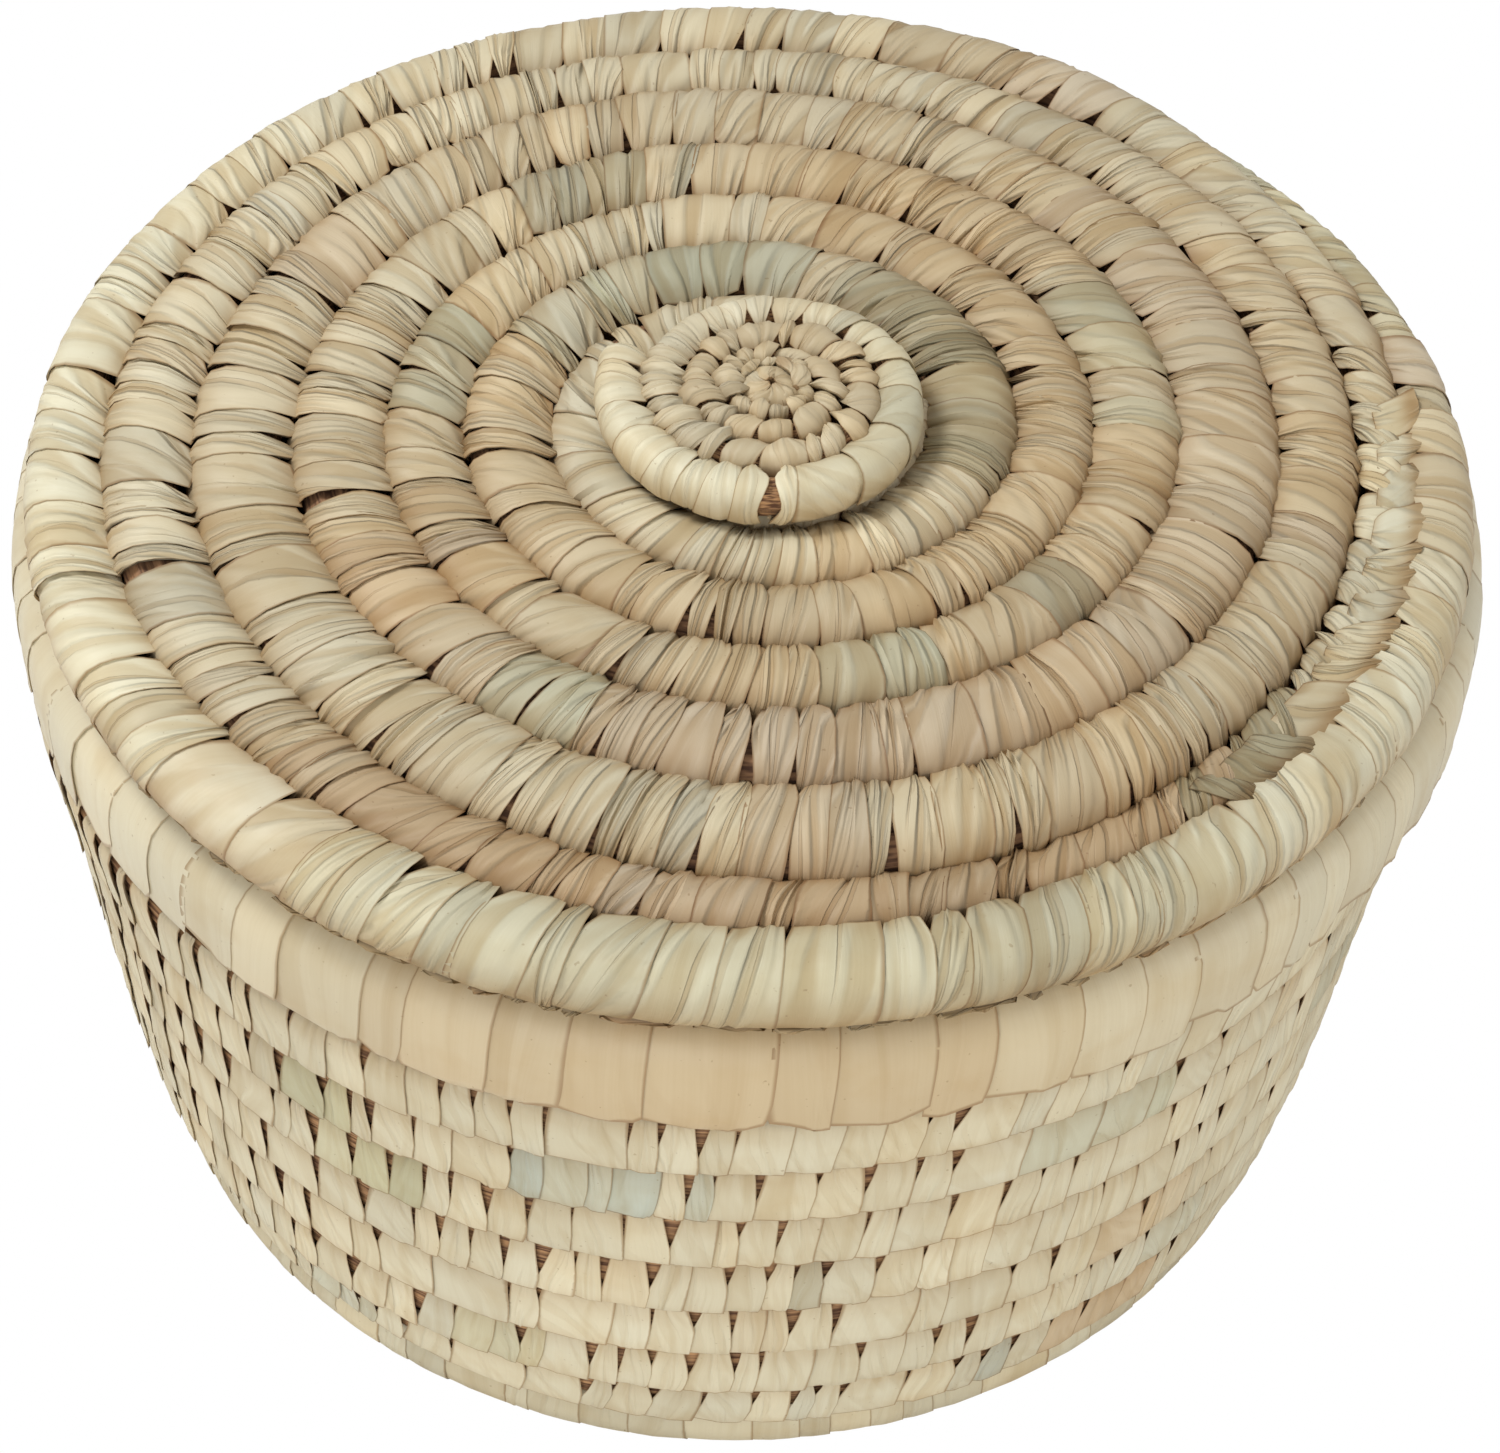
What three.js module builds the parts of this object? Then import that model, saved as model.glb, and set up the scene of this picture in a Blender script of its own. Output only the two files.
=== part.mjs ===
// Lidded storage basket of coiled palm leaf: a round basket with a thick rim,
// a loose coiled lid that drops into its mouth, and a small coiled knob.
// Every wall is one long coil that is carried round and round, each turn lying on the turn before.
// Units are millimetres, +Z is up and the origin is the middle of the underside of the base.
import * as THREE from 'three';

// How the coils are drawn: stations round one turn, and the faces round one coil
const STATIONS_PER_TURN = 24;
const COIL_SIDES = 6;
const RIM_SIDES = 8;
const SMALL_PIECE_SIDES = 12;

// A coil that starts from nothing is cut off blunt after this angle, and its tip keeps this share
// of the full thickness
const BLUNT_ANGLE = 45;
const TIP_SHARE = 0.4;

// Clearances: between the turns of one coil, between pieces sewn together, and of the loose lid
const TURN_GAP = 0.6;
const SEWN_GAP = 0.3;
const LID_SEAT_GAP = 0.3;

// Base: a flat coil that starts thin at its eye and runs out at the edge
const BASE_RADIUS = 183;
const BASE_COIL_WIDTH = 27.6;
const BASE_THICKNESS = 23.5;
const BASE_EYE_RADIUS = 7;
const BASE_TAIL_WIDTH = 8;
const BASE_TAIL_ANGLE = 60;
const BASE_START_ANGLE = 60;

// Wall: one coil that climbs a course height in each turn
const WALL_COURSES = 7;
const COURSE_HEIGHT = 24.3;
const WALL_THICKNESS = 22;
const WALL_FOOT_RADIUS = 186;
const WALL_SWELL_RADIUS = 197;
const WALL_WAIST_RADIUS = 196;
const MOUTH_RADIUS = 207;
const WALL_START_ANGLE = 300;

// Rim: one thick coil whose tapered ends lap over each other at the back
const RIM_THICKNESS = 32;
const RIM_WIDTH = 33;
const RIM_OVERHANG = 1;
const RIM_LAP_ANGLE = 90;
const RIM_START_ANGLE = 60;

// Lid: one coil wound outwards. Its turns were pulled to unequal widths by hand, listed from the eye
// out, and it grew faster on one side, so its rings lie off centre. It lies a little off centre itself.
const LID_EDGE_INSET = 8;
const LID_COIL_WIDTH = 22;
const LID_WIDTH_CHANGES = [-1, -1, 0, 2, 2, 6, -2, -6];
const LID_THICKNESS = 24;
const LID_EYE_RADIUS = 9;
const LID_TAIL_WIDTH = 16;
const LID_TAIL_ANGLE = 60;
const LID_START_ANGLE = 0;
const LID_CROWN = 3;
const LID_SLOW_SIDE_ANGLE = 135;
const LID_GROWTH_SWING = 0.95;
const LID_SHIFT_X = 2.7;
const LID_SHIFT_Y = -7.9;

// Locating coil under the lid, which keeps the lid in the mouth
const LOCATING_WIDTH = 16;
const LOCATING_HEIGHT = 14;
const LOCATING_CLEARANCE = 3;
const LOCATING_LAP_ANGLE = 90;
const LOCATING_START_ANGLE = 60;

// Knob: a small flat coil, wound the other way, on a stalk that is tied under the lid
const KNOB_RADIUS = 45;
const KNOB_COIL_WIDTH = 11;
const KNOB_WIDTH_CHANGES = [-1.8, -0.8, 2.6];
const KNOB_THICKNESS = 13.5;
const KNOB_EYE_RADIUS = 8;
const KNOB_TAIL_WIDTH = 3;
const KNOB_TAIL_ANGLE = 60;
const KNOB_START_ANGLE = 210;
const HEART_CLEARANCE = 0.5;
const HEART_DOME = 3;
const STALK_CLEARANCE = 0.5;
const STALK_TIE_WIDTH = 9;
const STALK_TIE_HEIGHT = 8;

const LEAF_PALE = 0xe3d6b4;
const LEAF_GREEN = 0xd9d6b6;
const LEAF_TAN = 0xddc59b;
const CORE_BROWN = 0x9a7452;

const clamp01 = (value) => Math.min(1, Math.max(0, value));
const mix = (from, to, share) => from + (to - from) * share;
const turnsOf = (degrees) => degrees / 360;
const stationOf = (turns) => Math.max(1, Math.round(turns * STATIONS_PER_TURN)) / STATIONS_PER_TURN;

// The way across a coil's thickness, as [radius, z]: outwards in a wall, upwards in a flat coil
const ACROSS_WALL = new THREE.Vector2(1, 0);
const ACROSS_DISC = new THREE.Vector2(0, 1);

// A leaf-wrapped piece, with the matt surface of dry palm leaf
function leafMesh(name, geometry, color) {
  const material = new THREE.MeshStandardMaterial({ color, roughness: 0.72, metalness: 0 });
  const mesh = new THREE.Mesh(geometry, material);
  mesh.name = name;
  return mesh;
}

// The outline of a coil's section inside a square of half size 1.
// Along the first axis lie its neighbours: a ridge points at them, or a flat where flats is true.
function sectionOutline(sides, flats) {
  const offset = flats ? Math.PI / sides : 0;
  const corners = Array.from({ length: sides }, (_, k) => {
    const angle = offset + (k * 2 * Math.PI) / sides;
    return [Math.cos(angle), Math.sin(angle)];
  });
  const reachAlong = Math.max(...corners.map((corner) => corner[0]));
  const reachAcross = Math.max(...corners.map((corner) => corner[1]));
  return corners.map(([along, across]) => [along / reachAlong, across / reachAcross]);
}

// One unbroken coil. edge(turn) is the point {radius, z} of the seam under a given turn, so the
// coil lies between edge(turn) and edge(turn + 1), and the next turn lies on it with TURN_GAP.
// thickness(width) is the size along across, which is ACROSS_WALL or ACROSS_DISC.
// hand is 1 when the coil winds counter-clockwise.
function coilShape({ edge, from, to, across, thickness, sides, flats = false, startAngle = 0, hand = 1 }) {
  const outline = sectionOutline(sides, flats);
  const stations = Math.round((to - from) * STATIONS_PER_TURN);
  const rings = [];
  for (let station = 0; station <= stations; station += 1) {
    const turn = from + station / STATIONS_PER_TURN;
    const near = edge(turn);
    const far = edge(turn + 1);
    const along = new THREE.Vector2(far.radius - near.radius, far.z - near.z);
    const width = along.length();
    along.normalize();
    const middle = new THREE.Vector2((near.radius + far.radius) / 2, (near.z + far.z) / 2);
    const halfAlong = (width - TURN_GAP) / 2;
    const halfAcross = thickness(width) / 2;
    const angle = THREE.MathUtils.degToRad(startAngle) + hand * turn * 2 * Math.PI;
    rings.push(outline.map(([a, b]) => {
      const radius = middle.x + along.x * a * halfAlong + across.x * b * halfAcross;
      const z = middle.y + along.y * a * halfAlong + across.y * b * halfAcross;
      return new THREE.Vector3(radius * Math.cos(angle), radius * Math.sin(angle), z);
    }));
  }
  return { geometry: tubeThrough(rings), rings };
}

// A closed tube through rings of points, with a flat end at both rings
function tubeThrough(rings) {
  const sides = rings[0].length;
  const positions = rings.flatMap((ring) => ring.flatMap((point) => point.toArray()));
  const index = [];
  for (let r = 0; r + 1 < rings.length; r += 1) {
    for (let k = 0; k < sides; k += 1) {
      const a = r * sides + k;
      const b = r * sides + ((k + 1) % sides);
      index.push(a, b, a + sides, b, b + sides, a + sides);
    }
  }
  const last = (rings.length - 1) * sides;
  for (let k = 1; k + 1 < sides; k += 1) {
    index.push(0, k + 1, k);
    index.push(last, last + k, last + k + 1);
  }
  const geometry = new THREE.BufferGeometry();
  geometry.setAttribute('position', new THREE.Float32BufferAttribute(positions, 3));
  geometry.setIndex(index);
  return outwardFacing(geometry);
}

// Turns a closed surface right side out, by the sign of the volume that it encloses
function outwardFacing(geometry) {
  const position = geometry.getAttribute('position');
  const index = Array.from(geometry.getIndex().array);
  const corner = (i) => new THREE.Vector3().fromBufferAttribute(position, index[i]);
  let volume = 0;
  for (let i = 0; i < index.length; i += 3) {
    volume += corner(i).dot(corner(i + 1).cross(corner(i + 2)));
  }
  if (volume < 0) {
    for (let i = 0; i < index.length; i += 3) {
      [index[i + 1], index[i + 2]] = [index[i + 2], index[i + 1]];
    }
    geometry.setIndex(index);
  }
  geometry.computeVertexNormals();
  return geometry;
}

// The least gap of a coil to itself, between the section points of one turn and of the next
function leastGapToItself(rings) {
  let least = Infinity;
  for (let r = 0; r + STATIONS_PER_TURN / 2 < rings.length; r += 1) {
    for (let other = r + STATIONS_PER_TURN / 2; other < rings.length; other += 1) {
      const steps = (other - r) % STATIONS_PER_TURN;
      if (Math.min(steps, STATIONS_PER_TURN - steps) > 1) continue;
      for (const point of rings[r]) {
        for (const neighbour of rings[other]) {
          least = Math.min(least, point.distanceTo(neighbour));
        }
      }
    }
  }
  return least;
}

// A named coil, whose least gap to itself is measured and printed
function coilPiece(name, color, { geometry, rings }) {
  console.log(`${name}: least gap to itself ${leastGapToItself(rings).toFixed(2)} mm`);
  return leafMesh(name, geometry, color);
}

// The height that a coil reaches within a band of radii, up (way 1) or down (way -1), found on
// points along each section. The band is widened by how far a flat facet cuts inside its circle.
function reachOver(rings, innerRadius, outerRadius, way) {
  const cutIn = outerRadius * (1 - Math.cos(Math.PI / STATIONS_PER_TURN));
  const shares = [0, 0.25, 0.5, 0.75];
  const heights = rings.flatMap((ring) => ring.flatMap((corner, k) => shares
    .map((share) => corner.clone().lerp(ring[(k + 1) % ring.length], share))
    .filter((point) => {
      const radius = Math.hypot(point.x, point.y);
      return radius > innerRadius - cutIn && radius < outerRadius + cutIn;
    })
    .map((point) => way * point.z)));
  return way * Math.max(...heights);
}

// The seams of a flat coil, as a radius for each turn. The first turn thickens from nothing around
// the eye. Then the widths add up, and at last the seam runs out to the outer radius over tailAngle.
// The side at slowSideAngle grows least, and swing says how much less.
function spiralSeam({
  eyeRadius, outerRadius, coilWidth, widthChanges, tailWidth, tailAngle, slowSideAngle = 0, swing = 0,
}) {
  const span = outerRadius - tailWidth - eyeRadius;
  const turns = Math.max(1, Math.round(span / coilWidth));
  const changes = Array.from({ length: turns }, (_, k) => widthChanges[k] ?? 0);
  const spare = changes.reduce((sum, change) => sum + change, 0);
  const widths = changes.map((change) => (span - spare) / turns + change);
  const seamAt = (count) => {
    const whole = Math.min(turns, Math.floor(count));
    const inside = widths.slice(0, whole).reduce((sum, width) => sum + width, eyeRadius);
    return whole < turns ? inside + (count - whole) * widths[whole] : inside;
  };
  const swayed = (turn) => {
    const slowest = turnsOf(slowSideAngle);
    const wave = Math.sin(2 * Math.PI * (turn - slowest)) + Math.sin(2 * Math.PI * slowest);
    return turn - (swing / (2 * Math.PI)) * wave;
  };
  const tail = stationOf(turnsOf(tailAngle));
  const radius = (turn) => {
    const runOut = clamp01((turn - 1 - turns) / tail);
    return mix(seamAt(clamp01(turn - 1) === 0 ? 0 : swayed(turn) - 1), outerRadius, runOut);
  };
  return { radius, lastStation: 1 + turns + tail - 1 / STATIONS_PER_TURN };
}

// The height of each seam of a stacked coil: level under the first turn, then climbing to the top
// over climbTurns, so that the first and last turns taper to a thin end.
function stackedSeam({ bottom, height, climbTurns }) {
  return (turn) => bottom + height * clamp01((turn - 1) / climbTurns);
}

// A small round knot of leaf, turned about the vertical axis, from points [radius, z]
function roundPiece(name, color, outline) {
  const points = outline.map(([radius, z]) => new THREE.Vector2(radius, z));
  return leafMesh(name, new THREE.LatheGeometry(points, SMALL_PIECE_SIDES).rotateX(Math.PI / 2), color);
}

// Heights of the basket, from the ground up
const wallBottom = BASE_THICKNESS + SEWN_GAP - TURN_GAP / 2;
const wallHeight = WALL_COURSES * COURSE_HEIGHT;
const rimBottom = wallBottom + wallHeight + SEWN_GAP - TURN_GAP;
const rimTop = rimBottom + RIM_THICKNESS - TURN_GAP / 2;

// Radii at the mouth
const rimOuterRadius = MOUTH_RADIUS + RIM_OVERHANG;
const rimMiddleRadius = rimOuterRadius - RIM_WIDTH / 2;
const mouthInnerRadius = rimOuterRadius - RIM_WIDTH;

// The outer radius of the wall at a height: a smooth curve that swells low down and flares at the mouth
function wallRadius(z) {
  const up = clamp01((z - wallBottom) / wallHeight);
  const down = 1 - up;
  return down ** 3 * WALL_FOOT_RADIUS + 3 * down ** 2 * up * WALL_SWELL_RADIUS
    + 3 * down * up ** 2 * WALL_WAIST_RADIUS + up ** 3 * MOUTH_RADIUS;
}

function makeBaseCoil() {
  const seam = spiralSeam({
    eyeRadius: BASE_EYE_RADIUS, outerRadius: BASE_RADIUS, coilWidth: BASE_COIL_WIDTH, widthChanges: [],
    tailWidth: BASE_TAIL_WIDTH, tailAngle: BASE_TAIL_ANGLE,
  });
  return coilPiece('base_coil', LEAF_TAN, coilShape({
    edge: (turn) => ({ radius: seam.radius(turn), z: BASE_THICKNESS / 2 }),
    from: stationOf(turnsOf(BLUNT_ANGLE)),
    to: seam.lastStation,
    across: ACROSS_DISC,
    thickness: (width) => BASE_THICKNESS * mix(TIP_SHARE, 1, clamp01(2 * width / BASE_COIL_WIDTH)),
    sides: COIL_SIDES,
    startAngle: BASE_START_ANGLE,
  }));
}

function makeWallCoil() {
  const seamHeight = stackedSeam({ bottom: wallBottom, height: wallHeight, climbTurns: WALL_COURSES });
  const blunt = stationOf(turnsOf(BLUNT_ANGLE));
  return coilPiece('wall_coil', LEAF_PALE, coilShape({
    edge: (turn) => {
      const z = seamHeight(turn);
      return { radius: wallRadius(z) - WALL_THICKNESS / 2, z };
    },
    from: blunt,
    to: WALL_COURSES + 1 - blunt,
    across: ACROSS_WALL,
    thickness: (width) => WALL_THICKNESS * mix(TIP_SHARE, 1, clamp01(width / COURSE_HEIGHT)),
    sides: COIL_SIDES,
    startAngle: WALL_START_ANGLE,
  }));
}

// One turn of coil with lapped ends, as the rim and the locating coil have
function lappedRing(name, color, { middleRadius, width, bottom, height, lapAngle, startAngle, sides }) {
  const lap = stationOf(turnsOf(lapAngle));
  const seamHeight = stackedSeam({ bottom, height, climbTurns: lap });
  const blunt = 1 / STATIONS_PER_TURN;
  return coilPiece(name, color, coilShape({
    edge: (turn) => ({ radius: middleRadius, z: seamHeight(turn) }),
    from: blunt,
    to: 1 + lap - blunt,
    across: ACROSS_WALL,
    thickness: (size) => width * mix(TIP_SHARE, 1, clamp01(2 * size / height)),
    sides,
    flats: true,
    startAngle,
  }));
}

function makeRimCoil() {
  return lappedRing('rim_coil', LEAF_TAN, {
    middleRadius: rimMiddleRadius, width: RIM_WIDTH, bottom: rimBottom, height: RIM_THICKNESS,
    lapAngle: RIM_LAP_ANGLE, startAngle: RIM_START_ANGLE, sides: RIM_SIDES,
  });
}

// The lid is drawn about its own middle plane, z = 0, and set on the rim at the end.
// It is a shallow crown: its coil rises a little half way out.
const lidRadius = rimOuterRadius - LID_EDGE_INSET;
const lidShift = Math.hypot(LID_SHIFT_X, LID_SHIFT_Y);
const lidSeam = spiralSeam({
  eyeRadius: LID_EYE_RADIUS, outerRadius: lidRadius, coilWidth: LID_COIL_WIDTH,
  widthChanges: LID_WIDTH_CHANGES, tailWidth: LID_TAIL_WIDTH, tailAngle: LID_TAIL_ANGLE,
  slowSideAngle: LID_SLOW_SIDE_ANGLE, swing: LID_GROWTH_SWING,
});
const lidShape = coilShape({
  edge: (turn) => {
    const radius = lidSeam.radius(turn);
    return { radius, z: LID_CROWN * Math.sin(Math.PI * clamp01(radius / lidRadius)) };
  },
  from: stationOf(turnsOf(BLUNT_ANGLE)),
  to: lidSeam.lastStation,
  across: ACROSS_DISC,
  thickness: (width) => Math.min(width, LID_THICKNESS),
  sides: COIL_SIDES,
  startAngle: LID_START_ANGLE,
});

// The locating coil clears the mouth also where the lid lies off centre
function makeLocatingCoil() {
  const outerRadius = mouthInnerRadius - lidShift - LOCATING_CLEARANCE;
  const underside = reachOver(lidShape.rings, outerRadius - LOCATING_WIDTH, outerRadius, -1);
  return lappedRing('lid_locating_coil', LEAF_TAN, {
    middleRadius: outerRadius - LOCATING_WIDTH / 2, width: LOCATING_WIDTH,
    bottom: underside - SEWN_GAP + TURN_GAP / 2 - LOCATING_HEIGHT, height: LOCATING_HEIGHT,
    lapAngle: LOCATING_LAP_ANGLE, startAngle: LOCATING_START_ANGLE, sides: COIL_SIDES,
  });
}

// The knob lies on the lid's inner turns
const knobBottom = reachOver(lidShape.rings, 0, KNOB_RADIUS, 1) + SEWN_GAP;
const knobTop = knobBottom + KNOB_THICKNESS;
const knobMiddle = (knobBottom + knobTop) / 2;

function makeKnobCoil() {
  const seam = spiralSeam({
    eyeRadius: KNOB_EYE_RADIUS, outerRadius: KNOB_RADIUS, coilWidth: KNOB_COIL_WIDTH,
    widthChanges: KNOB_WIDTH_CHANGES, tailWidth: KNOB_TAIL_WIDTH, tailAngle: KNOB_TAIL_ANGLE,
  });
  return coilPiece('knob_coil', LEAF_GREEN, coilShape({
    edge: (turn) => ({ radius: seam.radius(turn), z: knobMiddle }),
    from: stationOf(turnsOf(BLUNT_ANGLE)),
    to: seam.lastStation,
    across: ACROSS_DISC,
    thickness: () => KNOB_THICKNESS,
    sides: COIL_SIDES,
    startAngle: KNOB_START_ANGLE,
    hand: -1,
  }));
}

// The bundle that holds the knob: it passes through the eyes of the knob and of the lid
const stalkRadius = LID_EYE_RADIUS - STALK_CLEARANCE;
const stalkNeckRadius = KNOB_EYE_RADIUS - STALK_CLEARANCE;
const stalkShoulder = knobBottom - SEWN_GAP;
const tieInnerRadius = stalkRadius + SEWN_GAP;
const tieOuterRadius = tieInnerRadius + STALK_TIE_WIDTH;
const tieTop = reachOver(lidShape.rings, 0, tieOuterRadius, -1) - SEWN_GAP;
const tieBottom = tieTop - STALK_TIE_HEIGHT;

function makeKnobStalk() {
  return roundPiece('knob_stalk', CORE_BROWN, [
    [0, tieBottom], [stalkRadius, tieBottom], [stalkRadius, stalkShoulder],
    [stalkNeckRadius, stalkShoulder], [stalkNeckRadius, knobMiddle], [0, knobMiddle],
  ]);
}

// The strip tied round the stalk under the lid, which keeps the stalk from pulling out
function makeStalkTie() {
  const round = STALK_TIE_HEIGHT / 4;
  return roundPiece('stalk_tie', LEAF_TAN, [
    [tieInnerRadius, tieBottom], [tieOuterRadius - round, tieBottom], [tieOuterRadius, tieBottom + round],
    [tieOuterRadius, tieTop - round], [tieOuterRadius - round, tieTop], [tieInnerRadius, tieTop],
    [tieInnerRadius, tieBottom],
  ]);
}

// The knot of strips that closes the eye of a flat coil, with a low domed top
function makeHeart(name, color, { eyeRadius, bottom, crown }) {
  const radius = eyeRadius - HEART_CLEARANCE;
  return roundPiece(name, color, [
    [0, bottom], [radius, bottom], [radius, crown - HEART_DOME],
    [radius * 0.7, crown - HEART_DOME / 3], [0, crown],
  ]);
}

const basket = new THREE.Group();
basket.add(
  makeHeart('base_heart', LEAF_TAN, { eyeRadius: BASE_EYE_RADIUS, bottom: 0, crown: BASE_THICKNESS }),
  makeBaseCoil(),
  makeWallCoil(),
  makeRimCoil(),
);

const lid = new THREE.Group();
const lidUnderside = reachOver(lidShape.rings, mouthInnerRadius - lidShift, lidRadius, -1);
lid.position.set(LID_SHIFT_X, LID_SHIFT_Y, rimTop + LID_SEAT_GAP - lidUnderside);
lid.add(
  coilPiece('lid_coil', LEAF_PALE, lidShape),
  makeLocatingCoil(),
  makeKnobStalk(),
  makeStalkTie(),
  makeKnobCoil(),
  makeHeart('knob_heart', LEAF_GREEN, {
    eyeRadius: KNOB_EYE_RADIUS, bottom: knobMiddle + SEWN_GAP, crown: knobTop,
  }),
);

const model = new THREE.Group();
model.add(basket, lid);

export default model;
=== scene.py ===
"""Lidded storage basket of coiled palm leaf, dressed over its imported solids.

Every wall of the basket is one long bundle of brown stem fibre that is carried round and round and
wrapped with pale leaf strips. Each strip goes over its own turn and is sewn through the turn before,
so its last end laps over the neighbour as a scallop and its first end dives into the valley.
Lengths are in metres, +Z is up, and the origin is the middle of the underside of the base.
"""

import logging
import math
from dataclasses import dataclass, field, replace
from enum import Enum
from typing import Protocol

import bpy
import numpy as np
from mathutils import Matrix, Vector

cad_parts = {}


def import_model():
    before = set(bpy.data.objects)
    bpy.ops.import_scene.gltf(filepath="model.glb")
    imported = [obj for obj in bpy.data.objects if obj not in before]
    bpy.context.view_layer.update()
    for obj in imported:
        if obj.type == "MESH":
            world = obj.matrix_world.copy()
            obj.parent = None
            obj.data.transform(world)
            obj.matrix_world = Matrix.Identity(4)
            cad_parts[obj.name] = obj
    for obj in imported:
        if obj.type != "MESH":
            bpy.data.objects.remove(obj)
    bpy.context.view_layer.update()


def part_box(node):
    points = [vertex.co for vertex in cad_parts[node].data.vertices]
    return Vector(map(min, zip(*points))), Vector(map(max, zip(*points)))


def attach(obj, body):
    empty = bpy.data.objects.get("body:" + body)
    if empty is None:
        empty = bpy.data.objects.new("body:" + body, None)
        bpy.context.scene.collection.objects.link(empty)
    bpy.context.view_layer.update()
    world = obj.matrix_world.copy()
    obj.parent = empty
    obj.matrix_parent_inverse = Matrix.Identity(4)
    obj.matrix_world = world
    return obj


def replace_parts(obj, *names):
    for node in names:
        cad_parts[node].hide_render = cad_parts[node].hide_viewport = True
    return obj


LOG = logging.getLogger("basket")
Array = np.ndarray
# A place in plan, a place in space, a colour, and what a shader's input takes
Place = tuple[float, float]
Point = tuple[float, float, float]
Colour = tuple[float, float, float]
Input = float | Colour | bpy.types.NodeSocket

SEED = 20417
WHITE = (1.0, 1.0, 1.0, 1.0)
MM = 0.001

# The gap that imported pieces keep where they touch. Then, in turns: where a coil begins, once it has
# some width, how far before its run-out it is cut, and how far the ends of a ring lap
GAP = 0.0003
START = 0.125
BLUNT = 1 / 24
LAP = 0.25


def linear(red: int, green: int, blue: int) -> Colour:
    """A display colour as the linear light that a shader takes.

    Args:
        red: display value, 0 to 255.
        green: display value, 0 to 255.
        blue: display value, 0 to 255.

    Returns:
        The three linear values, 0 to 1.
    """
    shares = (red / 255, green / 255, blue / 255)
    return tuple(s / 12.92 if s <= 0.04045 else ((s + 0.055) / 1.055) ** 2.4 for s in shares)


def ease(low: float, high: float, value: Array) -> Array:
    """A smooth step: 0 up to low, 1 from high on, and 3t^2 - 2t^3 between them.

    Args:
        low: where the step starts.
        high: where it ends.
        value: where it is read.

    Returns:
        The step's height at each value.
    """
    share = np.clip((value - low) / (high - low), 0.0, 1.0)
    return share * share * (3 - 2 * share)


def unit(vectors: Array) -> Array:
    """Vectors of the same directions and of length 1.

    Args:
        vectors: any array whose last axis holds the components.

    Returns:
        The scaled vectors.
    """
    return vectors / np.maximum(np.linalg.norm(vectors, axis=-1, keepdims=True), 1e-12)


def drift(count: int, rng: np.random.Generator, window: int = 9) -> Array:
    """A slow chance wave of about unit size: the running mean of white noise.

    Args:
        count: how many values are wanted.
        rng: the source of chance.
        window: how many neighbours are alike.

    Returns:
        One value for each place.
    """
    noise = rng.normal(0, 1, count + window - 1)
    return np.convolve(noise, np.ones(window) / math.sqrt(window), "valid")


# The leaf and its colours


class Leaf(Enum):
    """The colours that the dried leaf takes, as display values."""

    PALE = (226, 219, 190)
    SHELL = (216, 206, 177)
    CREAM = (209, 198, 168)
    STRAW = (206, 190, 157)
    TAN = (201, 180, 143)
    UMBER = (185, 162, 128)
    AMBER = (203, 176, 137)
    PINK = (200, 183, 156)
    LIME = (206, 199, 169)
    MOSS = (186, 180, 141)
    SAGE = (184, 183, 157)
    GREY = (169, 165, 141)
    OLIVE = (152, 144, 114)
    BLUE = (181, 187, 172)

    @property
    def light(self) -> Colour:
        """The colour as linear light."""
        return linear(*self.value)


@dataclass(frozen=True)
class Tones:
    """The leaf colours along a coil.

    base lists the leaf at some turns, which blend into each other. patches lists stretches, from
    turn to turn, that were wrapped in another leaf. odd lists leaves that come in short runs.
    """

    base: tuple[tuple[float, Leaf], ...]
    patches: tuple[tuple[float, float, Leaf], ...] = ()
    odd: tuple[Leaf, ...] = ()
    odd_chance: float = 0.0
    spread: float = 0.055

    def at(self, turns: Array, rng: np.random.Generator) -> Array:
        """The colour of each strip, with chance in its brightness and in its warmth.

        Args:
            turns: where the strips lie.
            rng: the source of chance.

        Returns:
            Linear colours, (strips, 3).
        """
        where = turns + rng.normal(0, 0.008, len(turns))
        keys = np.array([turn for turn, _ in self.base])
        light = np.array([leaf.light for _, leaf in self.base])
        tones = np.stack([np.interp(where, keys, light[:, c]) for c in range(3)], -1)
        for start, end, leaf in self.patches:
            share = rng.uniform(0.45, 0.9, (len(turns), 1)) * ((where > start) & (where < end))[:, None]
            tones = tones * (1 - share) + np.array(leaf.light) * share
        for start in np.flatnonzero(rng.random(len(turns)) < self.odd_chance):
            run = slice(start, start + rng.integers(1, 4))
            leaf = self.odd[rng.integers(len(self.odd))]
            share = rng.uniform(0.35, 0.85)
            tones[run] = tones[run] * (1 - share) + np.array(leaf.light) * share
        bright = 1 + rng.normal(0, self.spread, (len(turns), 1))
        warm = rng.normal(0, self.spread * 0.3, (len(turns), 1)) * np.array([1.0, 0.1, -1.3])
        return np.clip(tones * (bright + warm), 0.01, 0.95)


# The coils


class Across(Enum):
    """The way across a coil's thickness, as (radius, height)."""

    WALL = (1.0, 0.0)
    DISC = (0.0, 1.0)


class Seam(Protocol):
    """The line between one turn of a coil and the next."""

    def edge(self, turn: Array) -> tuple[Array, Array]:
        """Says where the seam under each turn runs.

        Args:
            turn: how far along the coil, in turns.

        Returns:
            Its radii and its heights.
        """


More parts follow.
